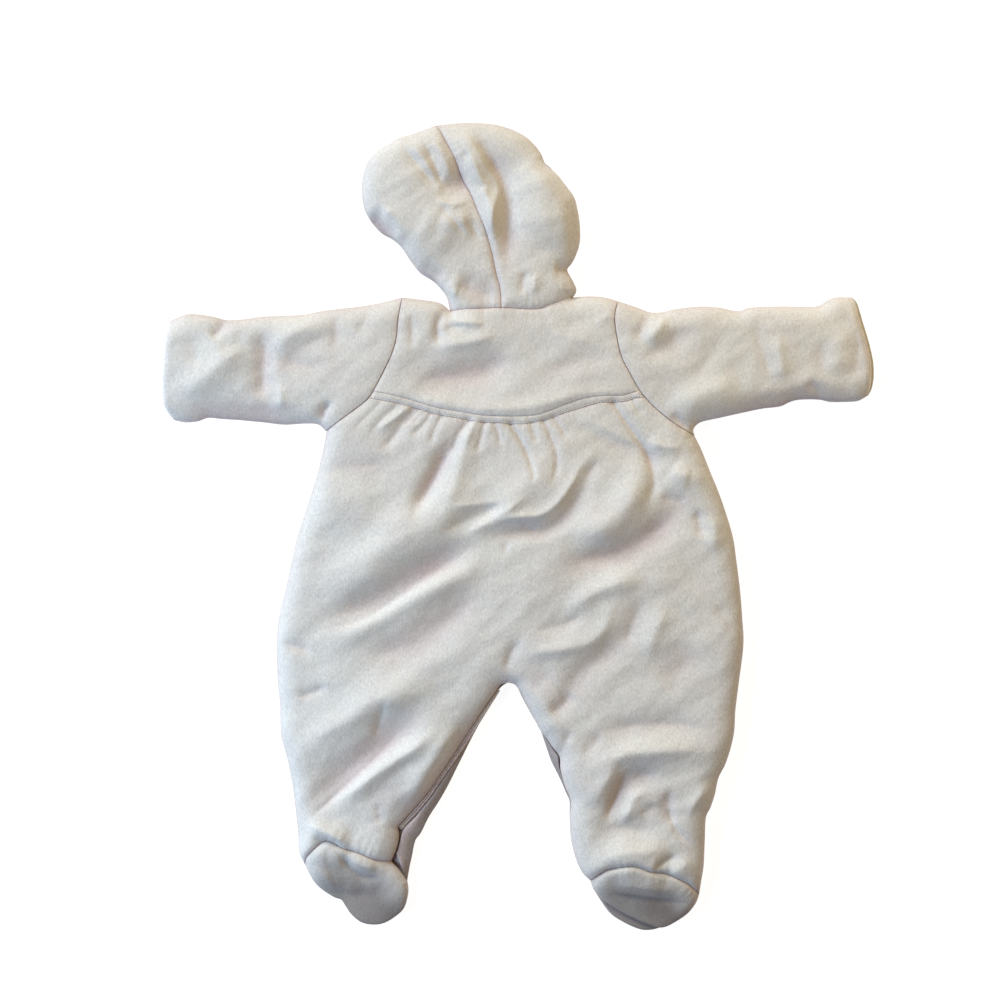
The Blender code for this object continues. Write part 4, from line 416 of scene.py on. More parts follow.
class SuitSizes(bpy.types.PropertyGroup):
    """Thicknesses and heights of the suit as it lies on the table."""

    front_loft: FloatProperty(name="Front layer", description="Thickness of the front layer",
                              default=0.0097, unit="LENGTH", precision=4)
    layer_gap: FloatProperty(name="Layer gap", description="Gap between the two layers",
                             default=0.0004, unit="LENGTH", precision=4)
    edge_height: FloatProperty(name="Edge height", description="Height of the outline's edge",
                               default=0.0125, unit="LENGTH", precision=4)
    back_loft: FloatProperty(name="Back height", description="Height of the back layer's middle",
                             default=0.0240, unit="LENGTH", precision=4)
    lowest_top: FloatProperty(name="Lowest crease", description="Height no crease goes below",
                              default=0.0140, unit="LENGTH", precision=4)
    edge_round: FloatProperty(name="Edge rounding", description="Reach of the upper rounding",
                              default=0.0190, unit="LENGTH", precision=4)
    under_round: FloatProperty(name="Under rounding", description="Reach of the lower rounding",
                               default=0.0090, unit="LENGTH", precision=4)
    cuff_round: FloatProperty(name="Cuff rounding", description="Reach of the cuff's rounding",
                              default=0.0050, unit="LENGTH", precision=4)
    seam_gap: FloatProperty(name="Seam gap", description="Gap between neighbouring pieces",
                            default=0.0001, unit="LENGTH", precision=5)
    mesh_step: FloatProperty(name="Mesh step", description="Usual size of a face",
                             default=0.0018, unit="LENGTH", precision=4)


class SuitCloth(bpy.types.PropertyGroup):
    """Colours and finish of the cloth and thread, and the colours of painted shade."""

    cloth: FloatVectorProperty(name="Cloth", description="Colour of the jersey", subtype="COLOR",
                               size=3, default=(0.652, 0.597, 0.582), min=0, max=1)
    # Painted shade: the colour that creases, seams, the rim and the front layer are painted towards
    crease: FloatVectorProperty(name="Creases", description="Colour deep in creases",
                                subtype="COLOR", size=3, default=(0.535, 0.415, 0.415), min=0, max=1)
    # Painted shade: the dark colour painted where the soles and toes face away from the light, and on the
    # bare front strip and the outline's rim
    shadowed: FloatVectorProperty(name="Worn", description="Colour of the worn jersey by the toes",
                              subtype="COLOR", size=3, default=(0.25, 0.205, 0.197), min=0, max=1)
    thread: FloatVectorProperty(name="Thread", description="Colour of the sewing thread",
                                subtype="COLOR", size=3, default=(0.82, 0.76, 0.75), min=0, max=1)
    roughness: FloatProperty(name="Roughness", description="Roughness of the brushed face",
                             default=0.93, min=0, max=1, subtype="FACTOR")
    sheen: FloatProperty(name="Nap sheen", description="Soft sheen of the brushed face",
                         default=0.25, min=0, max=1, subtype="FACTOR")
    nap: FloatProperty(name="Nap", description="Depth of the brushed nap",
                       default=0.00045, unit="LENGTH", precision=5)
    stitch: FloatProperty(name="Stitch", description="Length of a stitch",
                          default=0.0027, unit="LENGTH", precision=4)
    thickness: FloatProperty(name="Thread thickness", description="Thickness of the thread",
                             default=0.0006, unit="LENGTH", precision=5)


class SuitStage(bpy.types.PropertyGroup):
    """Floor, light and camera."""

    floor: FloatVectorProperty(name="Floor", description="Colour of the floor", subtype="COLOR",
                               size=3, default=(0.25, 0.25, 0.25), min=0, max=1)
    floor_glow: FloatProperty(name="Floor glow", description="Light that the floor gives off",
                              default=0.92, min=0)
    key: FloatProperty(name="Window", description="Power of the window's light", default=300.0,
                       min=0, subtype="POWER")
    side: FloatProperty(name="Side window", description="Power of the nearer side window",
                        default=14.0, min=0, subtype="POWER")
    fill: FloatProperty(name="Lamp", description="Power of the warm lamp", default=10.0,
                        min=0, subtype="POWER")
    ambient: FloatProperty(name="Ambient", description="Strength of the even light",
                           default=0.112, min=0)
    camera_height: FloatProperty(name="Camera height", description="Camera above the table",
                                 default=1.9, unit="LENGTH")
    view_width: FloatProperty(name="View width", description="Width of the view at the suit",
                              default=0.88, unit="LENGTH")
    view_centre: FloatVectorProperty(name="View centre", description="Place under the camera",
                                     size=2, default=(-0.01628, 0.02376), unit="LENGTH")


Form = namedtuple("Form", "front_loft layer_gap edge_height back_loft lowest_top edge_round "
                          "under_round cuff_round seam_gap mesh_step")


def form_of(context):
    """The sizes in millimetres."""
    sizes = context.scene.suit_sizes
    return Form(*(getattr(sizes, name) / MM for name in Form._fields))


# ---------------------------------------------------------------- lines on the plan

LINE_STEPS = 9
ON_LINE = 0.02


def smooth_line(places):
    """A fine smooth curve through the places, with the places on it."""
    knots = np.array(places, float)
    before = 2 * knots[:1] - knots[1:2]
    after = 2 * knots[-1:] - knots[-2:-1]
    ends = np.vstack((before, knots, after))
    t = np.linspace(0, 1, LINE_STEPS, endpoint=False)[:, None]
    runs = []
    for a, b, c, d in zip(ends, ends[1:], ends[2:], ends[3:]):
        runs.append(b + 0.5 * t * (c - a + t * (2 * a - 5 * b + 4 * c - d + t * (3 * b - a - 3 * c + d))))
    return np.vstack(runs + [knots[-1:]])


def along(line, fractions):
    """Places on a line at fractions of its length."""
    reach = np.concatenate(([0], np.cumsum(np.hypot(*np.diff(line, axis=0).T))))
    wanted = np.asarray(fractions) * reach[-1]
    return np.stack([np.interp(wanted, reach, line[:, axis]) for axis in (0, 1)], axis=-1)


def length(line):
    """The length of a line."""
    return float(np.hypot(*np.diff(line, axis=0).T).sum())


def stretch(line, start, end):
    """The part of a line between two fractions of its length, which may run backwards."""
    return along(line, np.linspace(start, end, 120))


def distance_to(places, line, reach=1e6):
    """How far places lie from a line, and at what fraction; beyond reach it isn't worked out."""
    low = line.min(axis=0) - reach
    high = line.max(axis=0) + reach
    close = np.flatnonzero(((places >= low) & (places <= high)).all(axis=1))
    distance = np.full(len(places), float(reach))
    where = np.zeros(len(places))
    if len(close) == 0:
        return distance, where
    start = line[:-1]
    step = np.diff(line, axis=0)
    size = np.maximum((step**2).sum(1), 1e-12)
    run = np.concatenate(([0], np.cumsum(np.sqrt(size))))
    some = places[close]
    best = np.full(len(some), np.inf)
    fraction = np.zeros(len(some))
    for index in range(len(start)):
        dx = some[:, 0] - start[index, 0]
        dy = some[:, 1] - start[index, 1]
        t = np.clip((dx * step[index, 0] + dy * step[index, 1]) / size[index], 0, 1)
        gap = (dx - t * step[index, 0]) ** 2 + (dy - t * step[index, 1]) ** 2
        closer = gap < best
        best[closer] = gap[closer]
        fraction[closer] = (run[index] + t[closer] * np.sqrt(size[index])) / run[-1]
    distance[close] = np.sqrt(best)
    where[close] = fraction
    return distance, where


LINES = {name: smooth_line(places) for name, places in ROUTES.items()}
LINES["band middle"] = 0.4 * LINES["band top"] + 0.6 * LINES["band low"]
HEM_DEPTH = 3.6
LINES["left hem"] = LINES["left cuff"] + (HEM_DEPTH, 0)
LINES["right hem"] = LINES["right cuff"] - (HEM_DEPTH, 0)
HEELS = {"left": np.vstack((LINES["left heel"], LINES["left sole inner"][1:])),
         "right": LINES["right heel"]}

# How far the soles drop from heel to toe, over what length, and how the drop quickens
SOLE_FALL = 19.0
SOLE_REACH = 62.0
SOLE_CURVE = 1.2

# Painted shade on the soles, which turn away from the light: by the heel, added by the toes and over what
# length, and the share of that at one side and added across to the other, between two distances
HEEL_SHADE, TOE_SHADE = 0.18, 0.82
TOE_SHADE_LENGTH = 34
NEAR_SIDE_SHADE, FAR_SIDE_SHADE = 0.62, 0.38
SHADE_ACROSS = (5, 75)


def nearest_fraction(line, place):
    """Where on a line its nearest point to a place lies."""
    return float(distance_to(np.array([place], float), line)[1][0])


def fitted(line, first, last):
    """A line with its two ends drawn exactly to the given places."""
    share = np.linspace(0, 1, len(line))[:, None]
    start_shift = np.asarray(first) - line[0]
    end_shift = np.asarray(last) - line[-1]
    return line + start_shift * (1 - share) ** 8 + end_shift * share**8


# ---------------------------------------------------------------- heights above the table

# How softly the deepest creases level out, and the random grid behind the padding's
# unevenness: its size, where on it the suit lies, and the factor on its height
CREASE_SOFTNESS = 1.5
UNEVEN_GRID = 61
UNEVEN_START = 23.37
UNEVEN_HEIGHT = 1.6


def quarter_round(distance, radius):
    """0 on an edge, rising as a quarter circle to 1 at the radius."""
    share = np.clip((distance - ON_LINE) / (radius - ON_LINE), 0, 1)
    return np.sqrt(1 - (1 - share) ** 2)


def ease(value, low, high):
    """0 below low, 1 above high, smooth in between."""
    t = np.clip((value - low) / (high - low), 0, 1)
    return t * t * (3 - 2 * t)


def least_distance(places, names, reach=1e6):
    """Distance to the nearest of the named lines."""
    return np.min([distance_to(places, LINES[name], reach)[0] for name in names], axis=0)


def unevenness(places, wave, seed):
    """Smooth random rises and hollows from about -1 to 1, the same at each run."""
    angle = np.random.RandomState(seed).uniform(0, 2 * np.pi, (UNEVEN_GRID, UNEVEN_GRID))
    slopes = np.stack((np.cos(angle), np.sin(angle)), axis=-1)
    spot = places / wave + UNEVEN_START
    cell = np.floor(spot).astype(int)
    inside = spot - cell
    blend = inside**3 * (inside * (inside * 6 - 15) + 10)
    total = np.zeros(len(places))
    for corner_x in (0, 1):
        for corner_y in (0, 1):
            slope = slopes[(cell[:, 0] + corner_x) % UNEVEN_GRID,
                           (cell[:, 1] + corner_y) % UNEVEN_GRID]
            offset = inside - (corner_x, corner_y)
            weight_x = blend[:, 0] if corner_x else 1 - blend[:, 0]
            weight_y = blend[:, 1] if corner_y else 1 - blend[:, 1]
            total += weight_x * weight_y * (slope * offset).sum(1)
    return total * UNEVEN_HEIGHT


def below_heels(places):
    """For each sole: its heel seam, how far places lie from it, and which are on the sole."""
    for heel in (HEELS["left"], HEELS["right"]):
        gap = distance_to(places, heel, SOLE_REACH)[0]
        yield heel, gap, (gap < SOLE_REACH) & (places[:, 1] < np.interp(places[:, 0], *heel.T))


def wear(places):
    """Painted shade on the soles and toes, which face away from the light: more towards the toes."""
    shadowed = np.zeros(len(places))
    for heel, gap, beyond in below_heels(places):
        across = ease(places[:, 0] - heel[:, 0].min(), *SHADE_ACROSS)
        side = NEAR_SIDE_SHADE + FAR_SIDE_SHADE * across
        amount = HEEL_SHADE + TOE_SHADE * ease(gap, 0, TOE_SHADE_LENGTH) * side
        shadowed += np.where(beyond, amount, 0)
    return shadowed


def padding_relief(places):
    """Broad to fine unevenness of the padded cloth."""
    relief = np.zeros(len(places))
    for rumple in RUMPLES:
        cos, sin = math.cos(rumple.turn), math.sin(rumple.turn)
        turned = places @ np.array(((cos / rumple.stretch, -sin), (sin / rumple.stretch, cos)))
        relief += rumple.rise * unevenness(turned, rumple.wave, rumple.seed)
    return relief


def fold_relief(places):
    """How much the folds raise or lower the cloth."""
    relief = np.zeros(len(places))
    for fold in FOLDS:
        route = smooth_line(fold.route)
        gap, fraction = distance_to(places, route, FOLD_REACH * fold.width)
        taper = END_FADE * min(END_LENGTH * length(route) / fold.width, 1)
        from_end = 1 - fraction
        if not fold.name.startswith("gather"):
            from_end = np.minimum(fraction, from_end)
        swell = 1 - taper * (1 - ease(from_end, 0, END_PART))
        shape = np.interp(fold.width, (SHARP_WIDTH, ROUND_WIDTH), (SHARP, ROUND))
        relief += fold.rise * swell * np.exp(-((gap / fold.width) ** shape))
    return relief


def seam_relief(places):
    """How much the seams draw the padding down, with puckers that run off them."""
    relief = np.zeros(len(places))
    dip = np.zeros(len(places))
    for seam in SEAMS:
        line = LINES[seam.line]
        gap, fraction = distance_to(places, line, PUCKER_REACH)
        run = fraction * length(line)
        wander = PUCKER_WANDER * np.sin(run / seam.pitch * PUCKER_TURN)
        phase = 2 * np.pi * run / seam.pitch + wander
        fade = np.exp(-gap / PUCKER_FADE) * (1 - np.exp(-gap / PUCKER_START))
        relief += seam.pucker * np.cos(phase) * fade
        dip = np.maximum(dip, seam.depth * np.exp(-gap / seam.spread))
    return relief - dip


def sole_fall(places):
    """How much the soles fall away from their heel seams, down to the toes."""
    fall = np.zeros(len(places))
    for _, gap, beyond in below_heels(places):
        fall += np.where(beyond, SOLE_FALL * (gap / SOLE_REACH) ** SOLE_CURVE, 0)
    return fall


def top_height(form, places, cuffs=("left cuff", "right cuff")):
    """The upper face of the suit over places on the plan."""
    crest = form.back_loft + fold_relief(places) + padding_relief(places) + seam_relief(places)
    crest = crest - sole_fall(places)
    above = (crest - form.lowest_top) / CREASE_SOFTNESS
    crest = form.lowest_top + np.logaddexp(0, above) * CREASE_SOFTNESS
    edge = quarter_round(least_distance(places, TOP_EDGES, EDGE_REACH), form.edge_round)
    hem = quarter_round(least_distance(places, cuffs, EDGE_REACH), form.cuff_round)
    return form.edge_height + (crest - form.edge_height) * edge * hem


def under_height(form, places, edges, cuffs=()):
    """The lower face of a sleeve, which rounds down to the table."""
    edge = quarter_round(least_distance(places, edges, EDGE_REACH), form.under_round)
    if cuffs:
        edge = edge * quarter_round(least_distance(places, cuffs, EDGE_REACH), form.cuff_round)
    return form.edge_height * (1 - edge)


# ---------------------------------------------------------------- plans of the pieces


def spread(size, near, far, step, total=None):
    """Fractions across a piece: close together by both edges and even in between, a step
    apart or as many as make the total."""
    first = np.array(near) / size
    last = 1 - np.array(far)[::-1] / size
    if total:
        count = total - len(near) - len(far) + 1
    else:
        count = max(int(round((last[0] - first[-1]) * size / step)), 1)
    middle = np.linspace(first[-1], last[0], count + 1)[1:-1]
    return np.concatenate((first, middle, last))


def boundary(parts, rows):
    """Places along lines joined end to end, one for each row fraction."""
    places = np.zeros((len(rows), 2))
    begin = 0.0
    for line, end in parts:
        inside = (rows >= begin - 1e-9) & (rows <= end + 1e-9)
        places[inside] = along(line, (rows[inside] - begin) / (end - begin))
        begin = end
    return places


def patch(near, far, start, end, columns, rows, start_fade=4, end_fade=4):
    """The plan of a piece between four lines, a row of places for each cross row.

    near and far are lists of (line, row fraction at its end); start and end are lines that
    run from near to far. columns holds a fraction for each column, or a row of them each row.
    """
    left = boundary(near, rows)
    right = boundary(far, rows)
    u = np.broadcast_to(columns, (len(rows), np.shape(columns)[-1]))
    plan = left[:, None] * (1 - u[..., None]) + right[:, None] * u[..., None]
    for line, fade in ((start, (1 - rows) ** start_fade), (end, rows**end_fade)):
        chord = line[0] * (1 - u[..., None]) + line[-1] * u[..., None]
        plan = plan + fade[:, None, None] * (along(line, u) - chord)
    return plan


def staged_rows(*stages):
    """Row fractions from (end fraction, count) stages, even inside each stage."""
    rows = [np.array([0.0])]
    begin = 0.0
    for end, count in stages:
        rows.append(np.linspace(begin, end, count + 1)[1:])
        begin = end
    return np.concatenate(rows)


# ---------------------------------------------------------------- making meshes


def grid_on(bm, plan):
    """A grid of faces laid on a plan, in millimetres."""
    rows, columns = plan.shape[:2]
    made = bmesh.ops.create_grid(bm, x_segments=columns - 1, y_segments=rows - 1, size=1)
    for vert in made["verts"]:
        column = round((vert.co.x + 1) / 2 * (columns - 1))
        row = round((vert.co.y + 1) / 2 * (rows - 1))
        vert.co = (*plan[row, column], 0)
    return made["verts"]


def places_of(verts):
    """The places of vertices on the plan."""
    return np.array([vert.co[:2] for vert in verts])


def set_heights(verts, heights):
    """Lifts vertices to their heights."""
    for vert, height in zip(verts, heights):
        vert.co.z = height


def open_edges(bm):
    """The edges that have a face on one side only."""
    return [edge for edge in bm.edges if edge.is_boundary]


def draw_out(bm, edges):
    """Extrudes an open rim and gives the new rim's edges."""
    drawn = bmesh.ops.extrude_edge_only(bm, edges=edges)["geom"]
    return [item for item in drawn if isinstance(item, bmesh.types.BMEdge) and item.is_boundary]


def loops_of(edges):
    """Ordered rings of vertices that run round the given edges."""
    links = {}
    for edge in edges:
        for vert in edge.verts:
            links.setdefault(vert, []).append(edge.other_vert(vert))
    rings = []
    left = set(links)
    while left:
        ring = [min(left, key=lambda vert: (vert.co.x, vert.co.y))]
        left.discard(ring[0])
        step = links[ring[0]][0]
        while step is not None:
            ring.append(step)
            left.discard(step)
            step = next((vert for vert in links[step] if vert in left), None)
        rings.append(ring)
    return rings


def inward(ring):
    """Vectors that point into the area inside a ring of places, longer at sharp corners."""
    ahead = np.roll(ring, -1, axis=0) - ring
    behind = ring - np.roll(ring, 1, axis=0)
    ahead /= np.hypot(*ahead.T)[:, None]
    behind /= np.hypot(*behind.T)[:, None]
    cross = ring[:, 0] * np.roll(ring[:, 1], -1) - np.roll(ring[:, 0], -1) * ring[:, 1]
    turn = np.sign(cross.sum())
    normal_ahead = turn * np.column_stack((-ahead[:, 1], ahead[:, 0]))
    normal_behind = turn * np.column_stack((-behind[:, 1], behind[:, 0]))
    middle = normal_ahead + normal_behind
    middle /= np.maximum(np.hypot(*middle.T), 1e-6)[:, None]
    corner = np.maximum((middle * normal_ahead).sum(1), 0.5)
    return middle / corner[:, None]


def shrink_rim(bm, amount):
    """Draws every open rim inwards on the plan."""
    for ring in loops_of(open_edges(bm)):
        places = places_of(ring)
        for vert, place in zip(ring, places + amount * inward(places)):
            vert.co.x, vert.co.y = place


# The rim's tuck fades out between the first distances from a free edge, and in between the
# second distances from a seam. Then the share of the drop, and the tuck, at its two steps
TUCK_AT_EDGE = (0.5, 2.0)
TUCK_FROM_SEAM = (0.5, 4.0)
TUCK_STEPS = ((0.45, 0.2), (1.0, 1.2))


def close_below(bm, floor):
    """Drops the open rim to a flat underside, tucked in a little along free edges."""
    edges = open_edges(bm)
    ring = loops_of(edges)[0]
    places = places_of(ring)
    tuck = 1 - ease(least_distance(places, TOP_EDGES, EDGE_REACH), *TUCK_AT_EDGE)
    for seam in SEAMS:
        tuck = tuck * ease(distance_to(places, LINES[seam.line], EDGE_REACH)[0], *TUCK_FROM_SEAM)
    normal = inward(places)
    reach = {vert: (place, way) for vert, place, way in zip(ring, places, normal * tuck[:, None])}
    top = {vert: vert.co.z for vert in ring}
    for share, inset in TUCK_STEPS:
        known = {tuple(vert.co): vert for vert in reach}
        edges = draw_out(bm, edges)
        fresh = {vert for edge in edges for vert in edge.verts}
        moved = {}
        heights = {}
        for vert in fresh:
            source = known[tuple(vert.co)]
            place, way = reach[source]
            moved[vert] = (place, way)
            heights[vert] = top[source]
        for vert in fresh:
            place, way = moved[vert]
            drop = heights[vert] + (floor - heights[vert]) * share
            vert.co = (*(place + inset * way), drop)
        reach, top = moved, heights
    bmesh.ops.contextual_create(bm, geom=edges)


def close_flat(bm, floor):
    """Drops the open rim straight down to a flat underside."""
    edges = draw_out(bm, open_edges(bm))
    for vert in {vert for edge in edges for vert in edge.verts}:
        vert.co.z = floor
    bmesh.ops.contextual_create(bm, geom=edges)


# ---------------------------------------------------------------- cloth, thread and their materials


def node(tree, kind, inputs=(), **values):
    """Adds a shader node, sets its values and links or fills its inputs."""
    made = tree.nodes.new(kind)
    for key, value in values.items():
        setattr(made, key, value)
    for key, value in inputs:
        if isinstance(value, bpy.types.NodeSocket):
            tree.links.new(value, made.inputs[key])
        else:
            made.inputs[key].default_value = value
    return made


def brushed_jersey_group():
    """Shader nodes for the brushed face of cotton jersey: mottled colour, painted shade in creases and
    where the cloth faces away from the light, and a fine nap.
    """
    known = bpy.data.node_groups.get("Brushed jersey")
    if known:
        return known
    group = bpy.data.node_groups.new("Brushed jersey", "ShaderNodeTree")
    face = group.interface
    for name, kind in (("Cloth", "NodeSocketColor"), ("Crease", "NodeSocketColor"),
                       ("Worn", "NodeSocketColor"), ("Hollow", "NodeSocketFloat"),
                       ("Wear", "NodeSocketFloat")):
        face.new_socket(name=name, in_out="INPUT", socket_type=kind)
    for name, kind in (("Color", "NodeSocketColor"), ("Height", "NodeSocketFloat")):
        face.new_socket(name=name, in_out="OUTPUT", socket_type=kind)
    given = group.nodes.new("NodeGroupInput")
    result = group.nodes.new("NodeGroupOutput")
    place = node(group, "ShaderNodeTexCoord")
    ribs = node(group, "ShaderNodeMapping", [("Vector", place.outputs["Object"]),
                                             ("Scale", (1.0, 0.34, 1.0))])
    knit = node(group, "ShaderNodeTexNoise", [("Vector", ribs.outputs["Vector"]),
                                              ("Scale", 950.0), ("Detail", 2.0)])
    nap = node(group, "ShaderNodeTexNoise", [("Vector", place.outputs["Object"]),
                                             ("Scale", 420.0), ("Detail", 4.0),
                                             ("Roughness", 0.65)])
    patches = node(group, "ShaderNodeTexNoise", [("Vector", place.outputs["Object"]),
                                                 ("Scale", 26.0), ("Detail", 3.0)])
    height = node(group, "ShaderNodeMath", [(0, knit.outputs["Fac"]), (1, nap.outputs["Fac"])],
                  operation="ADD")
    tint = node(group, "ShaderNodeMapRange", [("Value", patches.outputs["Fac"]),
                                              ("From Min", 0.3), ("From Max", 0.7),
                                              ("To Min", -0.10), ("To Max", 0.14)])
    # Painted shade: the shade share, with random mottled patches, mixes the cloth towards the crease
    # shade colour
    depth = node(group, "ShaderNodeMath", [(0, given.outputs["Hollow"]),
                                           (1, tint.outputs["Result"])],
                 operation="ADD", use_clamp=True)
    base = node(group, "ShaderNodeMix", [("Factor", depth.outputs[0]),
                                         (6, given.outputs["Cloth"]),
                                         (7, given.outputs["Crease"])], data_type="RGBA")
    # Painted shade: deeper shade mixed in on the soles, toes, bare front strip and rim
    deep_shaded = node(group, "ShaderNodeMix", [("Factor", given.outputs["Wear"]),
                                           (6, base.outputs[2]),
                                           (7, given.outputs["Worn"])], data_type="RGBA")
    fleck = node(group, "ShaderNodeMapRange", [("Value", height.outputs[0]),
                                               ("From Min", 0.6), ("From Max", 1.4),
                                               ("To Min", 0.80), ("To Max", 1.14)])
    shade = node(group, "ShaderNodeVectorMath", [(0, deep_shaded.outputs[2]),
                                                 (1, fleck.outputs["Result"])],
                 operation="MULTIPLY")
    group.links.new(shade.outputs[0], result.inputs["Color"])
    group.links.new(height.outputs[0], result.inputs["Height"])
    return group


def jersey_material(context, name):
    """Brushed cotton jersey for one piece of the suit."""
    cloth = context.scene.suit_cloth
    material = bpy.data.materials.new(name)
    material.use_nodes = True
    tree = material.node_tree
    shader = tree.nodes["Principled BSDF"]
    # Painted shade: these two attributes say how much shade is painted into the colour
    hollow = node(tree, "ShaderNodeAttribute", attribute_name="hollow")
    shadowed = node(tree, "ShaderNodeAttribute", attribute_name="wear")
    jersey = node(tree, "ShaderNodeGroup", node_tree=brushed_jersey_group())
    jersey.inputs["Cloth"].default_value = (*cloth.cloth, 1)
    jersey.inputs["Crease"].default_value = (*cloth.crease, 1)
    jersey.inputs["Worn"].default_value = (*cloth.shadowed, 1)
    tree.links.new(hollow.outputs["Fac"], jersey.inputs["Hollow"])
    tree.links.new(shadowed.outputs["Fac"], jersey.inputs["Wear"])
    bump = node(tree, "ShaderNodeBump", [("Height", jersey.outputs["Height"]),
                                         ("Distance", cloth.nap), ("Strength", 0.6)])
    tree.links.new(jersey.outputs["Color"], shader.inputs["Base Color"])
    tree.links.new(bump.outputs["Normal"], shader.inputs["Normal"])
    shader.inputs["Roughness"].default_value = cloth.roughness
    shader.inputs["Sheen Weight"].default_value = cloth.sheen
    shader.inputs["Sheen Roughness"].default_value = 0.6
    shader.inputs["Specular IOR Level"].default_value = 0.2
    return material


def thread_material(context):
    """Matt cotton thread."""
    known = bpy.data.materials.get("Sewing thread")
    if known:
        return known
    material = bpy.data.materials.new("Sewing thread")
    material.use_nodes = True
    tree = material.node_tree
    shader = tree.nodes["Principled BSDF"]
    place = node(tree, "ShaderNodeTexCoord")
    twist = node(tree, "ShaderNodeTexNoise", [("Vector", place.outputs["Object"]),
                                              ("Scale", 2400.0), ("Detail", 1.0)])
    colour = context.scene.suit_cloth.thread
    tone = node(tree, "ShaderNodeMix", [("Factor", twist.outputs["Fac"]),
                                        (6, (*(0.85 * value for value in colour), 1)),
                                        (7, (*colour, 1))], data_type="RGBA")
    tree.links.new(tone.outputs[2], shader.inputs["Base Color"])
    shader.inputs["Roughness"].default_value = 0.8
    return material


def finish_piece(context, bm, name, material, nodes=(), flat=None, area=None):
    """Makes the millimetre mesh a named object in metres that rides the suit."""
    for vert in bm.verts:
        vert.co *= MM
    bmesh.ops.recalc_face_normals(bm, faces=bm.faces)
    name = name.replace(" ", "_")
    mesh = bpy.data.meshes.new(name)
    bm.to_mesh(mesh)
    bm.free()
    mesh.shade_smooth()
    mesh.materials.append(material)
    piece = bpy.data.objects.new(name, mesh)
    context.scene.collection.objects.link(piece)
    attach(piece, "root")
    if nodes:
        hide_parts(*nodes)
    return piece


# The depth of a fold, and of a seam, that is fully in shade
SHADED_FOLD = 9
SHADED_SEAM = 16

# The front layer shows only as a strip along the inner legs: it is painted in shade, darker still across
# the strip
FRONT_SHADE = 0.85
STRIP_DEEP_SHADE = 0.8
STRIP_WIDTH = 14

# Seams get painted shade: how much, at what depth fully so, and over what width
SEAM_SHADE = 0.7
FULL_DEPTH = 1.6
SEAM_WIDTH = 0.8

# The outline's rim is painted a little darker, as shade on its rolled edge: how much, how much deeper,
# and over what width
RIM_SHADE = 0.7
RIM_DEEP_SHADE = 0.3
RIM_WIDTH = 1.5


def cloth_piece(context, bm, node_name, label, flat, area):
    """A sewn piece of cloth, with its painted shade marked for the material."""
    shade_layer = bm.verts.layers.float.new("hollow")
    deep_shaded = bm.verts.layers.float.new("wear")
    verts = list(bm.verts)
    places = places_of(verts)
    # Painted shade: the soles and toes get the deep shade colour
    deep_shading = wear(places)
    if node_name.startswith("front"):
        # Painted shade: the whole front layer, deeper on its bare strip
        shade_share = np.full(len(verts), FRONT_SHADE)
        strip = least_distance(places, ("left leg front", "right leg front"), EDGE_REACH)
        deep_shading = np.maximum(deep_shading, STRIP_DEEP_SHADE * (1 - ease(strip, 0, STRIP_WIDTH)))
    else:
        # Painted shade: folds and seams are painted darker the deeper they sink
        shade_share = -fold_relief(places) / SHADED_FOLD - seam_relief(places) / SHADED_SEAM
        # Painted shade: the rim of the outline
        rim = np.exp(-least_distance(places, TOP_EDGES, EDGE_REACH) / RIM_WIDTH)
        shade_share += RIM_SHADE * rim
        deep_shading = np.maximum(deep_shading, RIM_DEEP_SHADE * rim)
        for seam in SEAMS:
            gap = distance_to(places, LINES[seam.line], EDGE_REACH)[0]
            shade_share += SEAM_SHADE * min(seam.depth / FULL_DEPTH, 1) * np.exp(-gap / SEAM_WIDTH)
    for vert, value, shadowed in zip(verts, np.clip(shade_share, 0, 1), deep_shading):
        vert[shade_layer] = value
        vert[deep_shaded] = shadowed
    material = jersey_material(context, label + " jersey")
    return finish_piece(context, bm, label, material, (node_name,), flat, area)


def top_panel(context, node_name, label, plans, flat, area):
    """A piece of the back layer: one or two plans welded together, raised and closed below."""
    form = form_of(context)
    bm = bmesh.new()
    for plan in plans:
        grid_on(bm, plan)
    bmesh.ops.remove_doubles(bm, verts=bm.verts, dist=0.004)
    verts = list(bm.verts)
    set_heights(verts, top_height(form, places_of(verts)))
    shrink_rim(bm, form.seam_gap / 2)
    close_below(bm, form.front_loft + form.layer_gap)
    return cloth_piece(context, bm, node_name, label, flat, area)


# ---------------------------------------------------------------- back, yoke and band


def band_ends(line_name):
    """The fractions of the two armholes at which a band line meets them."""
    line = LINES[line_name]
    return (nearest_fraction(LINES["left armhole"], line[0]),
            nearest_fraction(LINES["right armhole"], line[-1]))


def yoke_plan(form):
    """Plan of the yoke between the armholes, from the shoulders and neck down to the band."""
    left_end, right_end = band_ends("band top")
    near = stretch(LINES["left armhole"], 0, left_end)
    far = stretch(LINES["right armhole"], 0, right_end)
    top = np.vstack((LINES["left shoulder"], LINES["neck"][1:], LINES["right shoulder"][1:]))
    neck_start = length(LINES["left shoulder"]) / length(top)
    neck_end = 1 - length(LINES["right shoulder"]) / length(top)
    steps = np.array(SEAM_STEPS) / length(top)
    columns = np.concatenate((steps[:-1], np.linspace(steps[-1], neck_start, 24),
                              np.linspace(neck_start, neck_end, 60)[1:-1],
                              np.linspace(neck_end, 1 - steps[-1], 24), 1 - steps[-2::-1]))
    rows = spread(85, (0.0, 0.5, 1.2, 2.4, 4.0, 6.2, 9.0), SEAM_STEPS, form.mesh_step)
    low = fitted(LINES["band top"], near[-1], far[-1])
    return patch([(near, 1)], [(far, 1)], top, low, columns, rows, 2, 2)


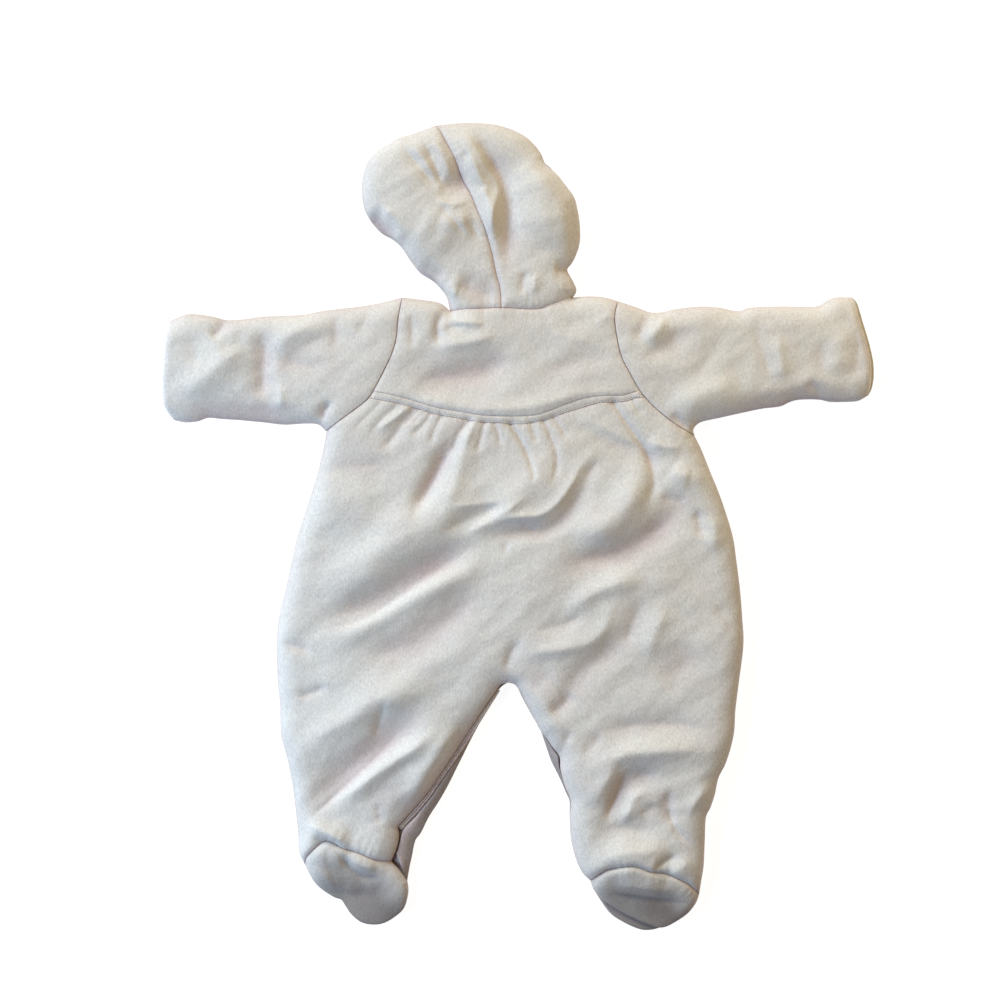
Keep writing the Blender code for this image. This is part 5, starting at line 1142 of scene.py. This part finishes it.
def band_plan(form):
    """Plan of the band between the yoke and the back panel."""
    top_cuts = band_ends("band top")
    low_cuts = band_ends("band low")
    near = stretch(LINES["left armhole"], top_cuts[0], low_cuts[0])
    far = stretch(LINES["right armhole"], top_cuts[1], low_cuts[1])
    top = fitted(LINES["band top"], near[0], far[0])
    low = fitted(LINES["band low"], near[-1], far[-1])
    columns = np.linspace(0, 1, int(length(top) / form.mesh_step))
    rows = np.array([0, 0.08, 0.2, 0.35, 0.5, 0.65, 0.8, 0.92, 1])
    return patch([(near, 1)], [(far, 1)], top, low, columns, rows, 1, 1)


def back_plans():
    """Plans of the back panel's left and right halves, each with its leg."""
    underarm, crotch, ankle = 0.08, 0.60, 0.90
    rows = staged_rows((0.002, 1), (0.006, 1), (0.012, 1), (underarm, 20), (crotch, 125),
                       (ankle, 84), (0.988, 22), (0.995, 1), (1.0, 1))
    left_hole = LINES["left armhole"]
    right_hole = LINES["right armhole"]
    left_cut, right_cut = band_ends("band low")
    band = fitted(LINES["band low"], along(left_hole, left_cut), along(right_hole, right_cut))
    middle = nearest_fraction(band, LINES["centre back"][0])
    centre = LINES["centre back"].copy()
    centre[0] = along(band, middle)
    split = ease(rows, crotch - 0.12, crotch + 0.05)[:, None]
    torso = spread(180, EDGE_STEPS, (0,), 1.9)
    leg = spread(125, EDGE_STEPS, EDGE_STEPS, None, len(torso))
    columns = torso * (1 - split) + leg * split
    outer = [(stretch(left_hole, left_cut, 1), underarm), (LINES["left side upper"], crotch),
             (LINES["left side lower"], 1.0)]
    inner = [(centre, crotch), (LINES["left leg inner"], ankle), (LINES["left ankle"], 1.0)]
    left = patch(outer, inner, stretch(band, 0, middle), LINES["left heel"], columns, rows, 6, 9)
    outer = [(stretch(right_hole, right_cut, 1), underarm), (LINES["right side upper"], crotch),
             (LINES["right side lower"], 1.0)]
    inner = [(centre, crotch), (LINES["right leg inner"], 1.0)]
    right = patch(outer, inner, stretch(band, 1, middle), LINES["right heel"][::-1], columns,
                  rows, 6, 9)
    return left, right


class SUIT_OT_back(bpy.types.Operator):
    """Build the back panel, gathered under the band and drawn down into the two legs"""

    bl_idname = "suit.back"
    bl_label = "Back panel"

    def execute(self, context):
        plans = back_plans()
        top_panel(context, "back_body", "Back panel", plans, (0.44, 0.47), 0.150)
        return {"FINISHED"}


class SUIT_OT_yoke(bpy.types.Operator):
    """Build the yoke over the shoulders and the narrow band under it"""

    bl_idname = "suit.yoke"
    bl_label = "Yoke and band"

    def execute(self, context):
        form = form_of(context)
        top_panel(context, "back_yoke", "Yoke", [yoke_plan(form)], (0.235, 0.110), 0.022)
        top_panel(context, "yoke_band", "Yoke band", [band_plan(form)], (0.250, 0.016), 0.0040)
        return {"FINISHED"}


class SUIT_OT_soles(bpy.types.Operator):
    """Build the soles of the two closed feet"""

    bl_idname = "suit.soles"
    bl_label = "Soles"

    def execute(self, context):
        for node_name, label, heel, edge, near_cut, flat, area in (
                ("sole_left", "Left sole", HEELS["left"], LINES["left toe"], 0.035,
                 (0.096, 0.080), 0.0055),
                ("sole_right", "Right sole", HEELS["right"], LINES["right sole edge"], 0.045,
                 (0.100, 0.062), 0.0046)):
            columns = spread(length(heel), EDGE_STEPS[:6], EDGE_STEPS[:6], 1.5)
            rows = spread(45, SEAM_STEPS[:4], EDGE_STEPS[:8], 1.5)
            start = stretch(heel, 0, 0.955)
            end = stretch(edge, near_cut, 1)
            near = stretch(edge, 0, near_cut)
            far = stretch(heel, 0.955, 1)
            plan = patch([(near, 1)], [(far, 1)], start, end, columns, rows, 1, 1)
            top_panel(context, node_name, label, [plan], flat, area)
        return {"FINISHED"}


# ---------------------------------------------------------------- leg opening band


# Across the leg band: where its two cords lie, how high and broad they are, and how far the
# band stands above the panel's edge and falls away from it
LEG_BAND_RIDGES = (0.27, 0.73)
LEG_BAND_RIDGE = 0.9
LEG_BAND_CORD = 0.13
LEG_BAND_STEP = 0.4
LEG_BAND_FALL = 1.4


def leg_band_height(form, share):
    """A narrow band with two corded ridges beside the back panel's edge."""
    height = form.edge_height + LEG_BAND_STEP - LEG_BAND_FALL * share
    for ridge in LEG_BAND_RIDGES:
        height = height + LEG_BAND_RIDGE * np.exp(-(((share - ridge) / LEG_BAND_CORD) ** 2))
    return height


def leg_band_plan():
    """Plan of the leg band, from the back panel's edge outwards."""
    rows = np.linspace(0, 1, 120)
    inner = stretch(LINES["left leg inner"], 1 / 14, 1)
    outer = LINES["leg band outer"]
    ends = [np.linspace(inner[end], outer[end], 9) for end in (0, -1)]
    return patch([(inner, 1)], [(outer, 1)], ends[0], ends[1], np.linspace(0, 1, 17), rows)


class SUIT_OT_leg_band(bpy.types.Operator):
    """Build the narrow band inside the left leg's opening"""

    bl_idname = "suit.leg_band"
    bl_label = "Leg band"

    def execute(self, context):
        form = form_of(context)
        bm = bmesh.new()
        verts = grid_on(bm, leg_band_plan())
        places = places_of(verts)
        inside = distance_to(places, LINES["left leg inner"])[0]
        outside = distance_to(places, LINES["leg band outer"])[0]
        set_heights(verts, leg_band_height(form, inside / np.maximum(inside + outside, 0.01)))
        shrink_rim(bm, form.seam_gap)
        close_flat(bm, form.front_loft + form.layer_gap)
        cloth_piece(context, bm, "leg_band", "Leg band", (0.165, 0.010), 0.0012)
        return {"FINISHED"}


# ---------------------------------------------------------------- front layer


Run = namedtuple("Run", "line free cover")

# The spacing of places round a front, and how far a bare strip is looked for
FRONT_STEP = 2.2
COVER_REACH = 60

# How a free run starts, how steeply it may gain, and how often the round is smoothed
FREE_START, FREE_STEP = 4, 0.25
SMOOTH_TURNS = 3

# A bare strip's puff: its margin, its least width, how its height grows with the strip's width
# up to a limit, and where across the strip it crests and starts to fade
STRIP_MARGIN, STRIP_LEAST = 0.3, 0.05
PUFF_SLOPE, PUFF_START, PUFF_MOST = 0.5, 1.2, 3.4
PUFF_CREST, PUFF_FADE = 0.86, 0.9


def front_piece(context, node_name, label, runs, flat, area):
    """A piece of the front layer from runs of its outline; where the back layer's edge, or
    cover, leaves a strip of it bare, that strip is puffed."""
    form = form_of(context)
    places, free, bare = [], [], []
    for run in runs:
        count = max(int(length(run.line) / FRONT_STEP), 2)
        spots = along(run.line, np.linspace(0, 1, count + 1)[:-1])
        places.append(spots)
        free.append(np.full(count, run.free))
        bare.append(least_distance(spots, run.cover, COVER_REACH) if run.cover else np.zeros(count))
    places = np.vstack(places)
    free = np.concatenate(free)
    bare = np.concatenate(bare)
    free *= np.minimum(np.roll(free, 1) * FREE_START, 1)
    for _ in range(SMOOTH_TURNS):
        free = np.minimum(free, FREE_STEP + (np.roll(free, 1) + np.roll(free, -1)) / 2)
    normal = inward(places)
    places = places + form.seam_gap / 2 * normal
    normal /= np.maximum(np.hypot(*normal.T), 1)[:, None]
    for _ in range(SMOOTH_TURNS):
        normal = (normal + np.roll(normal, 1, axis=0) + np.roll(normal, -1, axis=0)) / 3
    wall = []
    first = FRONT_WALL[0][0]
    for step in PUFF_STEPS[::-1]:
        inset = first + np.maximum(bare - first - STRIP_MARGIN, STRIP_LEAST) * step
        puff = np.sin(np.pi / 2 * min(step / PUFF_CREST, 1)) * (1 - ease(step, PUFF_FADE, 1))
        rise = np.clip(bare * PUFF_SLOPE - PUFF_START, 0, PUFF_MOST)
        wall.append((inset * free, form.front_loft + rise * puff))
    for inset, share in FRONT_WALL:
        wall.append((inset * free, np.full(len(places), form.front_loft * share)))
    bm = bmesh.new()
    inset, height = wall[0]
    ring = [bm.verts.new((*place, up)) for place, up in zip(places + inset[:, None] * normal, height)]
    bm.faces.new(ring)
    edges = open_edges(bm)
    for inset, height in wall[1:]:
        edges = draw_out(bm, edges)
        fresh = {tuple(vert.co): vert for edge in edges for vert in edge.verts}
        ring = [fresh[tuple(vert.co)] for vert in ring]
        for vert, place, up in zip(ring, places + inset[:, None] * normal, height):
            vert.co = (*place, up)
    bmesh.ops.contextual_create(bm, geom=edges)
    return cloth_piece(context, bm, node_name, label, flat, area)


CENTRE_X = -9.2
FRONT_BAND_HALF = 9.3


def front_cuts(side):
    """Where a front meets the centre band: fractions on the neckline and on the leg."""
    x = CENTRE_X + (FRONT_BAND_HALF if side == "right" else -FRONT_BAND_HALF)
    neckline = LINES["front neckline"]
    leg = LINES[side + " leg front"]
    upper_leg = leg[: len(leg) // 3]
    low = upper_leg[np.abs(upper_leg[:, 0] - x).argmin()]
    high = neckline[np.abs(neckline[:, 0] - x).argmin()]
    return nearest_fraction(neckline, high), nearest_fraction(leg, low)


class SUIT_OT_fronts(bpy.types.Operator):
    """Build the two fronts, with the tops of the feet, and the band between them"""

    bl_idname = "suit.fronts"
    bl_label = "Fronts"

    def execute(self, context):
        neckline = LINES["front neckline"]
        neck_left, leg_left = front_cuts("left")
        neck_right, leg_right = front_cuts("right")

        leg = stretch(LINES["left leg front"], 1, leg_left)
        neck = stretch(neckline, neck_left, 0)
        front_piece(context, "front_left", "Left front", (
            Run(LINES["left armhole"], 0, ()), Run(LINES["left side upper"], 1, ()),
            Run(LINES["left side lower"], 1, ()), Run(LINES["left toe"], 1, ()),
            Run(leg, 1, ("leg band outer", "left ankle", "left sole inner")),
            Run(np.linspace(leg[-1], neck[0], 9), 0, ()), Run(neck, 0, ()),
            Run(LINES["left shoulder"][::-1], 1, ())), (0.20, 0.56), 0.082)

        leg = stretch(LINES["right leg front"], leg_right, 1)
        neck = stretch(neckline, 1, neck_right)
        front_piece(context, "front_right", "Right front", (
            Run(LINES["right shoulder"][::-1], 1, ()), Run(neck, 0, ()),
            Run(np.linspace(neck[-1], leg[0], 9), 0, ()), Run(leg, 1, ("right leg inner",)),
            Run(LINES["right toe"], 1, ()), Run(LINES["right side lower"][::-1], 1, ()),
            Run(LINES["right side upper"][::-1], 1, ()),
            Run(LINES["right armhole"][::-1], 0, ())), (0.20, 0.56), 0.085)

        top = stretch(neckline, neck_left, neck_right)
        right_low = stretch(LINES["right leg front"], leg_right, 0)
        left_low = stretch(LINES["left leg front"], 0, leg_left)
        front_piece(context, "front_band", "Front band", (
            Run(top, 0, ()), Run(np.linspace(top[-1], right_low[0], 9), 0, ()),
            Run(right_low, 0.25, ()), Run(left_low, 0.25, ()),
            Run(np.linspace(left_low[-1], top[0], 9), 0, ())), (0.030, 0.305), None)
        return {"FINISHED"}


# ---------------------------------------------------------------- sleeves


SLIT = 0.3
SLIT_INSET = 9.0
SLEEVE_GAP = 0.45


def sleeve_plan(side, cuff, columns, rows):
    """Plan of one skin of a sleeve, from its cuff to its armhole."""
    return patch([(LINES[side + " sleeve top"], 1)], [(LINES[side + " sleeve low"], 1)],
                 LINES[cuff], LINES[side + " armhole"], columns, rows, 12, 3)


def leave_seam(ring, hole, amount):
    """Moves a sleeve's end off its armhole line, towards the cuff."""
    places = places_of(ring)
    fraction = distance_to(places, hole)[1]
    ahead = along(hole, np.minimum(fraction + 0.01, 1)) - along(hole, np.maximum(fraction - 0.01, 0))
    ahead /= np.hypot(*ahead.T)[:, None]
    outwards = np.column_stack((-ahead[:, 1], ahead[:, 0]))
    outwards *= np.sign(outwards[len(ring) // 2] @ (np.sign(hole[0, 0]), 0.3))
    for vert, place in zip(ring, places + amount * outwards):
        vert.co.x, vert.co.y = place


def place_slit(form, edges, side, row, across, face_side):
    """Sets a ring of the slit at a row of the sleeve, clear of the folded edges."""
    top = LINES[side + " sleeve top"]
    low = LINES[side + " sleeve low"]
    inset = SLIT_INSET / np.hypot(*(along(low, 0.5) - along(top, 0.5)))
    verts = list({vert for edge in edges for vert in edge.verts})
    fractions = np.array([inset + vert[across] * (1 - 2 * inset) for vert in verts])
    plan = sleeve_plan(side, side + " cuff", fractions, np.array([row]))[0]
    for vert, place in zip(verts, plan):
        vert.co = (*place, form.edge_height + SLIT * vert[face_side])


def sleeve_mesh(form, side):
    """A flat tube: an upper skin, a lower skin and a narrow slit that is open at both ends."""
    under_cuff = "right cuff under" if side == "right" else "left cuff"
    rows = spread(200, (0, 0.3, 0.9, 1.9, 3.4, 5.2), SEAM_STEPS, form.mesh_step)
    upper = spread(100, EDGE_STEPS, EDGE_STEPS, form.mesh_step)
    lower = spread(100, UNDER_STEPS, UNDER_STEPS, 8)
    bm = bmesh.new()
    across = bm.verts.layers.float.new("across")
    face_side = bm.verts.layers.float.new("side")
    for sign, columns, cuff in ((1, upper, side + " cuff"), (-1, lower, under_cuff)):
        plan = sleeve_plan(side, cuff, columns, rows)
        share = {tuple(np.float32(place)): u for row in plan for place, u in zip(row, columns)}
        verts = grid_on(bm, plan)
        places = places_of(verts)
        if sign > 0:
            heights = top_height(form, places)
        else:
            heights = under_height(form, places, SLEEVE_EDGES, (cuff,))
        cuff_gap = distance_to(places, LINES[cuff])[0]
        for vert, place, height, gap in zip(verts, places, heights, cuff_gap):
            vert[across] = share[tuple(np.float32(place))]
            vert[face_side] = sign if 0.001 < vert[across] < 0.999 else 0
            vert.co.z = form.edge_height + SLIT * vert[face_side] if gap < ON_LINE else height
    bmesh.ops.remove_doubles(bm, verts=bm.verts, dist=0.01)
    rings = sorted(loops_of(open_edges(bm)), key=lambda ring: abs(np.mean(places_of(ring)[:, 0])))
    hole_edges, slit_edges = [
        list({edge for vert in ring for edge in vert.link_edges if edge.is_boundary})
        for ring in rings]
    hole = LINES[side + " armhole"]
    leave_seam(rings[0], hole, SLEEVE_GAP)
    for row in (0.03, 0.12, 0.25, 0.38, 0.5, 0.6, 0.7, 0.78, 0.85, 0.92, 1.0):
        slit_edges = draw_out(bm, slit_edges)
        place_slit(form, slit_edges, side, row, across, face_side)
    end_edges = draw_out(bm, hole_edges)
    place_slit(form, end_edges, side, 1, across, face_side)
    leave_seam(list({vert for edge in end_edges + slit_edges for vert in edge.verts}), hole,
               SLEEVE_GAP)
    bmesh.ops.remove_doubles(bm, verts=bm.verts, dist=0.001)
    return bm


class SUIT_OT_sleeves(bpy.types.Operator):
    """Build the two sleeves, pressed flat"""

    bl_idname = "suit.sleeves"
    bl_label = "Sleeves"

    def execute(self, context):
        form = form_of(context)
        for side in ("left", "right"):
            bm = sleeve_mesh(form, side)
            cloth_piece(context, bm, "sleeve_" + side, side.title() + " sleeve", (0.215, 0.210), 0.040)
        return {"FINISHED"}


# ---------------------------------------------------------------- hood


HOOD_WALL = 9.5
HOOD_LIFT = 9.0
BRIM_TOP = 9.3
HOOD_FLOOR = 9.9
HEM_ROUND = 1.8
HOOD_SHIFT = 34.0
HOOD_RISE = (16.0, 48.0)
HOOD_LEAST = 5.0


# Where each hood half's outline passes from its side to its crown
HOOD_CORNERS = {"left": 0.66, "right": 0.60}


def hood_plan(side):
    """Plan of one hood half between its centre seam, the neck, the side and the crown."""
    outline = LINES["hood " + side]
    seam = LINES["hood seam"]
    corner = HOOD_CORNERS[side]
    neck_cut = nearest_fraction(LINES["neck"], seam[0])
    neck = stretch(LINES["neck"], neck_cut, 1 if side == "right" else 0)
    columns = spread(80, SEAM_STEPS, EDGE_STEPS, 1.3)
    rows = spread(150, SEAM_STEPS, EDGE_STEPS, 1.5)
    crown = stretch(outline, 1, corner)
    return patch([(seam, 1)], [(stretch(outline, 0, corner), 1)], neck, crown, columns, rows, 3, 1.5)


def brim_way(fraction, outline, brim):
    """The outline's place at a fraction, the way from it to the brim's edge, and how far."""
    start = along(outline, fraction)
    way = along(brim, fraction) - start
    size = np.hypot(*way)
    return start, way / size, size


def set_brim(form, bm, role, part, outline, brim):
    """Bends the rings drawn from the outline under and in, down to the table."""
    last = len(UNDER_STEPS) + 1
    for vert in bm.verts:
        ring = round(vert[role])
        if ring == 0:
            continue
        start, way, size = brim_way(vert[part], outline, brim)
        if ring < len(UNDER_STEPS):
            step = UNDER_STEPS[ring]
            height = form.edge_height * (1 - quarter_round(np.array([step]), form.under_round)[0])
        else:
            step = size if ring == last else size - HEM_ROUND
            height = HEM_ROUND if ring == last else 0.0
        vert.co = (*(start + way * step), height)


def set_lining(verts, role, part, outline, brim):
    """Places the bowl's inner face: under the crown, round the fold and over the brim."""
    seam = LINES["hood seam"]
    places = places_of(verts)
    seam_gap, seam_part = distance_to(places, seam)
    crown_gap = least_distance(places, ("hood left", "hood right"))
    neck_gap = distance_to(places, LINES["neck"])[0]
    for index, vert in enumerate(verts):
        start, way, size = brim_way(vert[part], outline, brim)
        place = np.array(vert.co[:2])
        if round(vert[role]) == 0:
            out = crown_gap[index]
            shift = HOOD_WALL * (1 - ease(out, 0, HOOD_SHIFT))
            lift = HOOD_LIFT * ease(min(out, neck_gap[index]), *HOOD_RISE)
            lift = min(lift, max(vert.co.z - HOOD_LEAST - HOOD_FLOOR, 0))
            if seam_gap[index] < ON_LINE:
                place = along(seam, seam_part[index] - shift / length(seam))
            else:
                place = place + way * shift
            height = HOOD_FLOOR + lift if out > ON_LINE else (HOOD_FLOOR + BRIM_TOP) / 2
        else:
            step = np.hypot(*(place - start))
            place = start + way * (HOOD_WALL + step * (size - HOOD_WALL) / size)
            height = BRIM_TOP
        vert.co = (*place, height)


def hood_mesh(form, side):
    """One half of the hood: a padded bowl whose brim turns under on the table."""
    outline = LINES["hood " + side]
    brim = LINES["brim " + side]
    bm = bmesh.new()
    role = bm.verts.layers.float.new("role")
    part = bm.verts.layers.float.new("part")
    verts = grid_on(bm, hood_plan(side))
    places = places_of(verts)
    set_heights(verts, top_height(form, places))
    rim_edges = [edge for edge in open_edges(bm)
                 if distance_to(places_of(edge.verts), outline)[0].max() < ON_LINE]
    for vert, fraction in zip(verts, distance_to(places, outline)[1]):
        vert[part] = fraction
    for ring in range(1, len(UNDER_STEPS) + 2):
        known = set(bm.verts)
        rim_edges = [edge for edge in draw_out(bm, rim_edges) if not known & set(edge.verts)]
        for vert in {vert for edge in rim_edges for vert in edge.verts}:
            vert[role] = ring
    set_brim(form, bm, role, part, outline, brim)
    inner = bmesh.ops.extrude_face_region(bm, geom=list(bm.faces), use_keep_orig=True)["geom"]
    inner_verts = [item for item in inner if isinstance(item, bmesh.types.BMVert)]
    set_lining(inner_verts, role, part, outline, brim)
    seam_side = 1 if side == "right" else -1
    for vert in bm.verts:
        vert.co.x += seam_side * form.seam_gap / 2
        vert.co.y += form.seam_gap
    return bm


class SUIT_OT_hood(bpy.types.Operator):
    """Build the two halves of the hood, a padded bowl with its brim turned under"""

    bl_idname = "suit.hood"
    bl_label = "Hood"

    def execute(self, context):
        form = form_of(context)
        for side in ("left", "right"):
            bm = hood_mesh(form, side)
            cloth_piece(context, bm, "hood_" + side, "Hood " + side, (0.165, 0.19), 0.020)
        return {"FINISHED"}


# ---------------------------------------------------------------- stitching


Stitching = namedtuple("Stitching", "name line start end inset")

# Rows of topstitching beside the seams: the line followed and how far to one side of it
STITCHING = (
    Stitching("band upper", "band middle", 0.01, 0.99, 0.0),
    Stitching("band lower", "band low", 0.01, 0.99, 0.9),
    Stitching("left hem", "left hem", 0.05, 0.95, 0.0),
    Stitching("right hem", "right hem", 0.05, 0.95, 0.0),
)


def beside(line, fractions, inset):
    """Places beside a line, at a distance to its left."""
    ahead = along(line, np.minimum(fractions + 0.004, 1)) - along(line, np.maximum(fractions - 0.004, 0))
    ahead /= np.hypot(*ahead.T)[:, None]
    return along(line, fractions) + inset * np.column_stack((-ahead[:, 1], ahead[:, 0]))


def sew(bm, places, heights, stitch, thickness):
    """One small rounded stitch for each place, along the way to the next."""
    gap = 0.35 * stitch
    for place, height, following, next_height in zip(places, heights, places[1:], heights[1:]):
        way = Vector((*(following - place), next_height - height))
        middle = Vector((*place, height)) + way * 0.5
        turn = way.to_track_quat("X", "Z").to_matrix().to_4x4()
        size = Matrix.Diagonal(((way.length - gap) / 2, thickness / 2, thickness / 2, 1))
        bmesh.ops.create_icosphere(bm, subdivisions=1, radius=1,
                                   matrix=Matrix.Translation(middle) @ turn @ size)


class SUIT_OT_stitching(bpy.types.Operator):
    """Sew the rows of topstitching along the yoke band and round the cuffs"""

    bl_idname = "suit.stitching"
    bl_label = "Topstitching"

    def execute(self, context):
        form = form_of(context)
        cloth = context.scene.suit_cloth
        stitch, thickness = cloth.stitch / MM, cloth.thickness / MM
        bm = bmesh.new()
        for row in STITCHING:
            line = LINES[row.line]
            count = int(length(line) * (row.end - row.start) / stitch)
            places = beside(line, np.linspace(row.start, row.end, count + 1), row.inset)
            sew(bm, places, top_height(form, places) + 0.1, stitch, thickness)
        finish_piece(context, bm, "Topstitching", thread_material(context))
        return {"FINISHED"}


# ---------------------------------------------------------------- stage

Light = namedtuple("Light", "name power size place colour")

# Soft square lights: the setting with the power, and the size, place and colour of each
LIGHTS = (
    Light("Window", "key", 2.2, (-2.9, 4.0, 2.05), (0.86, 0.94, 0.925)),
    Light("Side window", "side", 0.7, (-1.0, -0.3, 0.8), (0.55, 0.80, 1.0)),
    Light("Lamp", "fill", 0.7, (0.95, 0.85, 0.9), (1.0, 0.85, 0.42)),
)
ROOM_COLOUR = (1.0, 0.70, 0.63, 1)
FLOOR_REACH = 6
SENSOR_WIDTH = 36

# The height above the table at which the view is as wide as its setting says
VIEW_PLANE = 0.0125


class SUIT_OT_stage(bpy.types.Operator):
    """Lay the floor and set the light and the camera"""

    bl_idname = "suit.stage"
    bl_label = "Stage"

    def execute(self, context):
        stage = context.scene.suit_stage
        scene = context.scene
        bm = bmesh.new()
        bmesh.ops.create_grid(bm, x_segments=1, y_segments=1, size=FLOOR_REACH)
        mesh = bpy.data.meshes.new("Floor")
        bm.to_mesh(mesh)
        bm.free()
        floor = bpy.data.objects.new("Floor", mesh)
        scene.collection.objects.link(floor)
        material = bpy.data.materials.new("Floor paper")
        material.use_nodes = True
        shader = material.node_tree.nodes["Principled BSDF"]
        shader.inputs["Base Color"].default_value = (*stage.floor, 1)
        shader.inputs["Roughness"].default_value = 0.95
        shader.inputs["Specular IOR Level"].default_value = 0.0
        shader.inputs["Emission Color"].default_value = (1, 1, 1, 1)
        shader.inputs["Emission Strength"].default_value = stage.floor_glow
        mesh.materials.append(material)

        world = bpy.data.worlds.new("Room")
        world.use_nodes = True
        background = world.node_tree.nodes["Background"]
        background.inputs["Color"].default_value = ROOM_COLOUR
        background.inputs["Strength"].default_value = stage.ambient
        scene.world = world
        scene.view_settings.view_transform = "Standard"

        lights = [self.area_light(context, light, getattr(stage, light.power)) for light in LIGHTS]

        lens = bpy.data.cameras.new("Camera")
        camera = bpy.data.objects.new("Camera", lens)
        scene.collection.objects.link(camera)
        camera.location = (*stage.view_centre, stage.camera_height)
        plane = stage.camera_height - VIEW_PLANE
        lens.sensor_width = SENSOR_WIDTH
        lens.lens = lens.sensor_width * plane / stage.view_width
        scene.camera = camera
        return {"FINISHED"}

    def area_light(self, context, light, power):
        """A square soft light that faces the middle of the suit."""
        panel = bpy.data.lights.new(light.name, "AREA")
        panel.energy = power
        panel.size = light.size
        panel.color = light.colour
        lamp = bpy.data.objects.new(light.name, panel)
        context.scene.collection.objects.link(lamp)
        lamp.location = light.place
        lamp.rotation_euler = (-Vector(light.place)).to_track_quat("-Z", "Y").to_euler()
        return lamp


# ---------------------------------------------------------------- panel and start


OPERATORS = (SUIT_OT_back, SUIT_OT_yoke, SUIT_OT_soles, SUIT_OT_leg_band, SUIT_OT_fronts,
             SUIT_OT_sleeves, SUIT_OT_hood, SUIT_OT_stitching, SUIT_OT_stage)


class SUIT_PT_builder(bpy.types.Panel):
    """Buttons for the suit's pieces and its settings"""

    bl_idname = "SUIT_PT_builder"
    bl_label = "Baby snowsuit"
    bl_space_type = "VIEW_3D"
    bl_region_type = "UI"
    bl_category = "Snowsuit"

    def draw(self, context):
        for operator in OPERATORS:
            self.layout.operator(operator.bl_idname, text=operator.bl_label)
        for settings in (context.scene.suit_sizes, context.scene.suit_cloth,
                         context.scene.suit_stage):
            box = self.layout.box()
            for name in settings.__annotations__:
                box.prop(settings, name)


CLASSES = (SuitSizes, SuitCloth, SuitStage, *OPERATORS, SUIT_PT_builder)


def register():
    for cls in CLASSES:
        bpy.utils.register_class(cls)
    bpy.types.Scene.suit_sizes = PointerProperty(type=SuitSizes)
    bpy.types.Scene.suit_cloth = PointerProperty(type=SuitCloth)
    bpy.types.Scene.suit_stage = PointerProperty(type=SuitStage)


def unregister():
    del bpy.types.Scene.suit_stage
    del bpy.types.Scene.suit_cloth
    del bpy.types.Scene.suit_sizes
    for cls in reversed(CLASSES):
        bpy.utils.unregister_class(cls)


def main():
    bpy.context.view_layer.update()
    register()
    for operator in OPERATORS:
        group, name = operator.bl_idname.split(".")
        getattr(getattr(bpy.ops, group), name)()


if __name__ == "__main__":
    main()
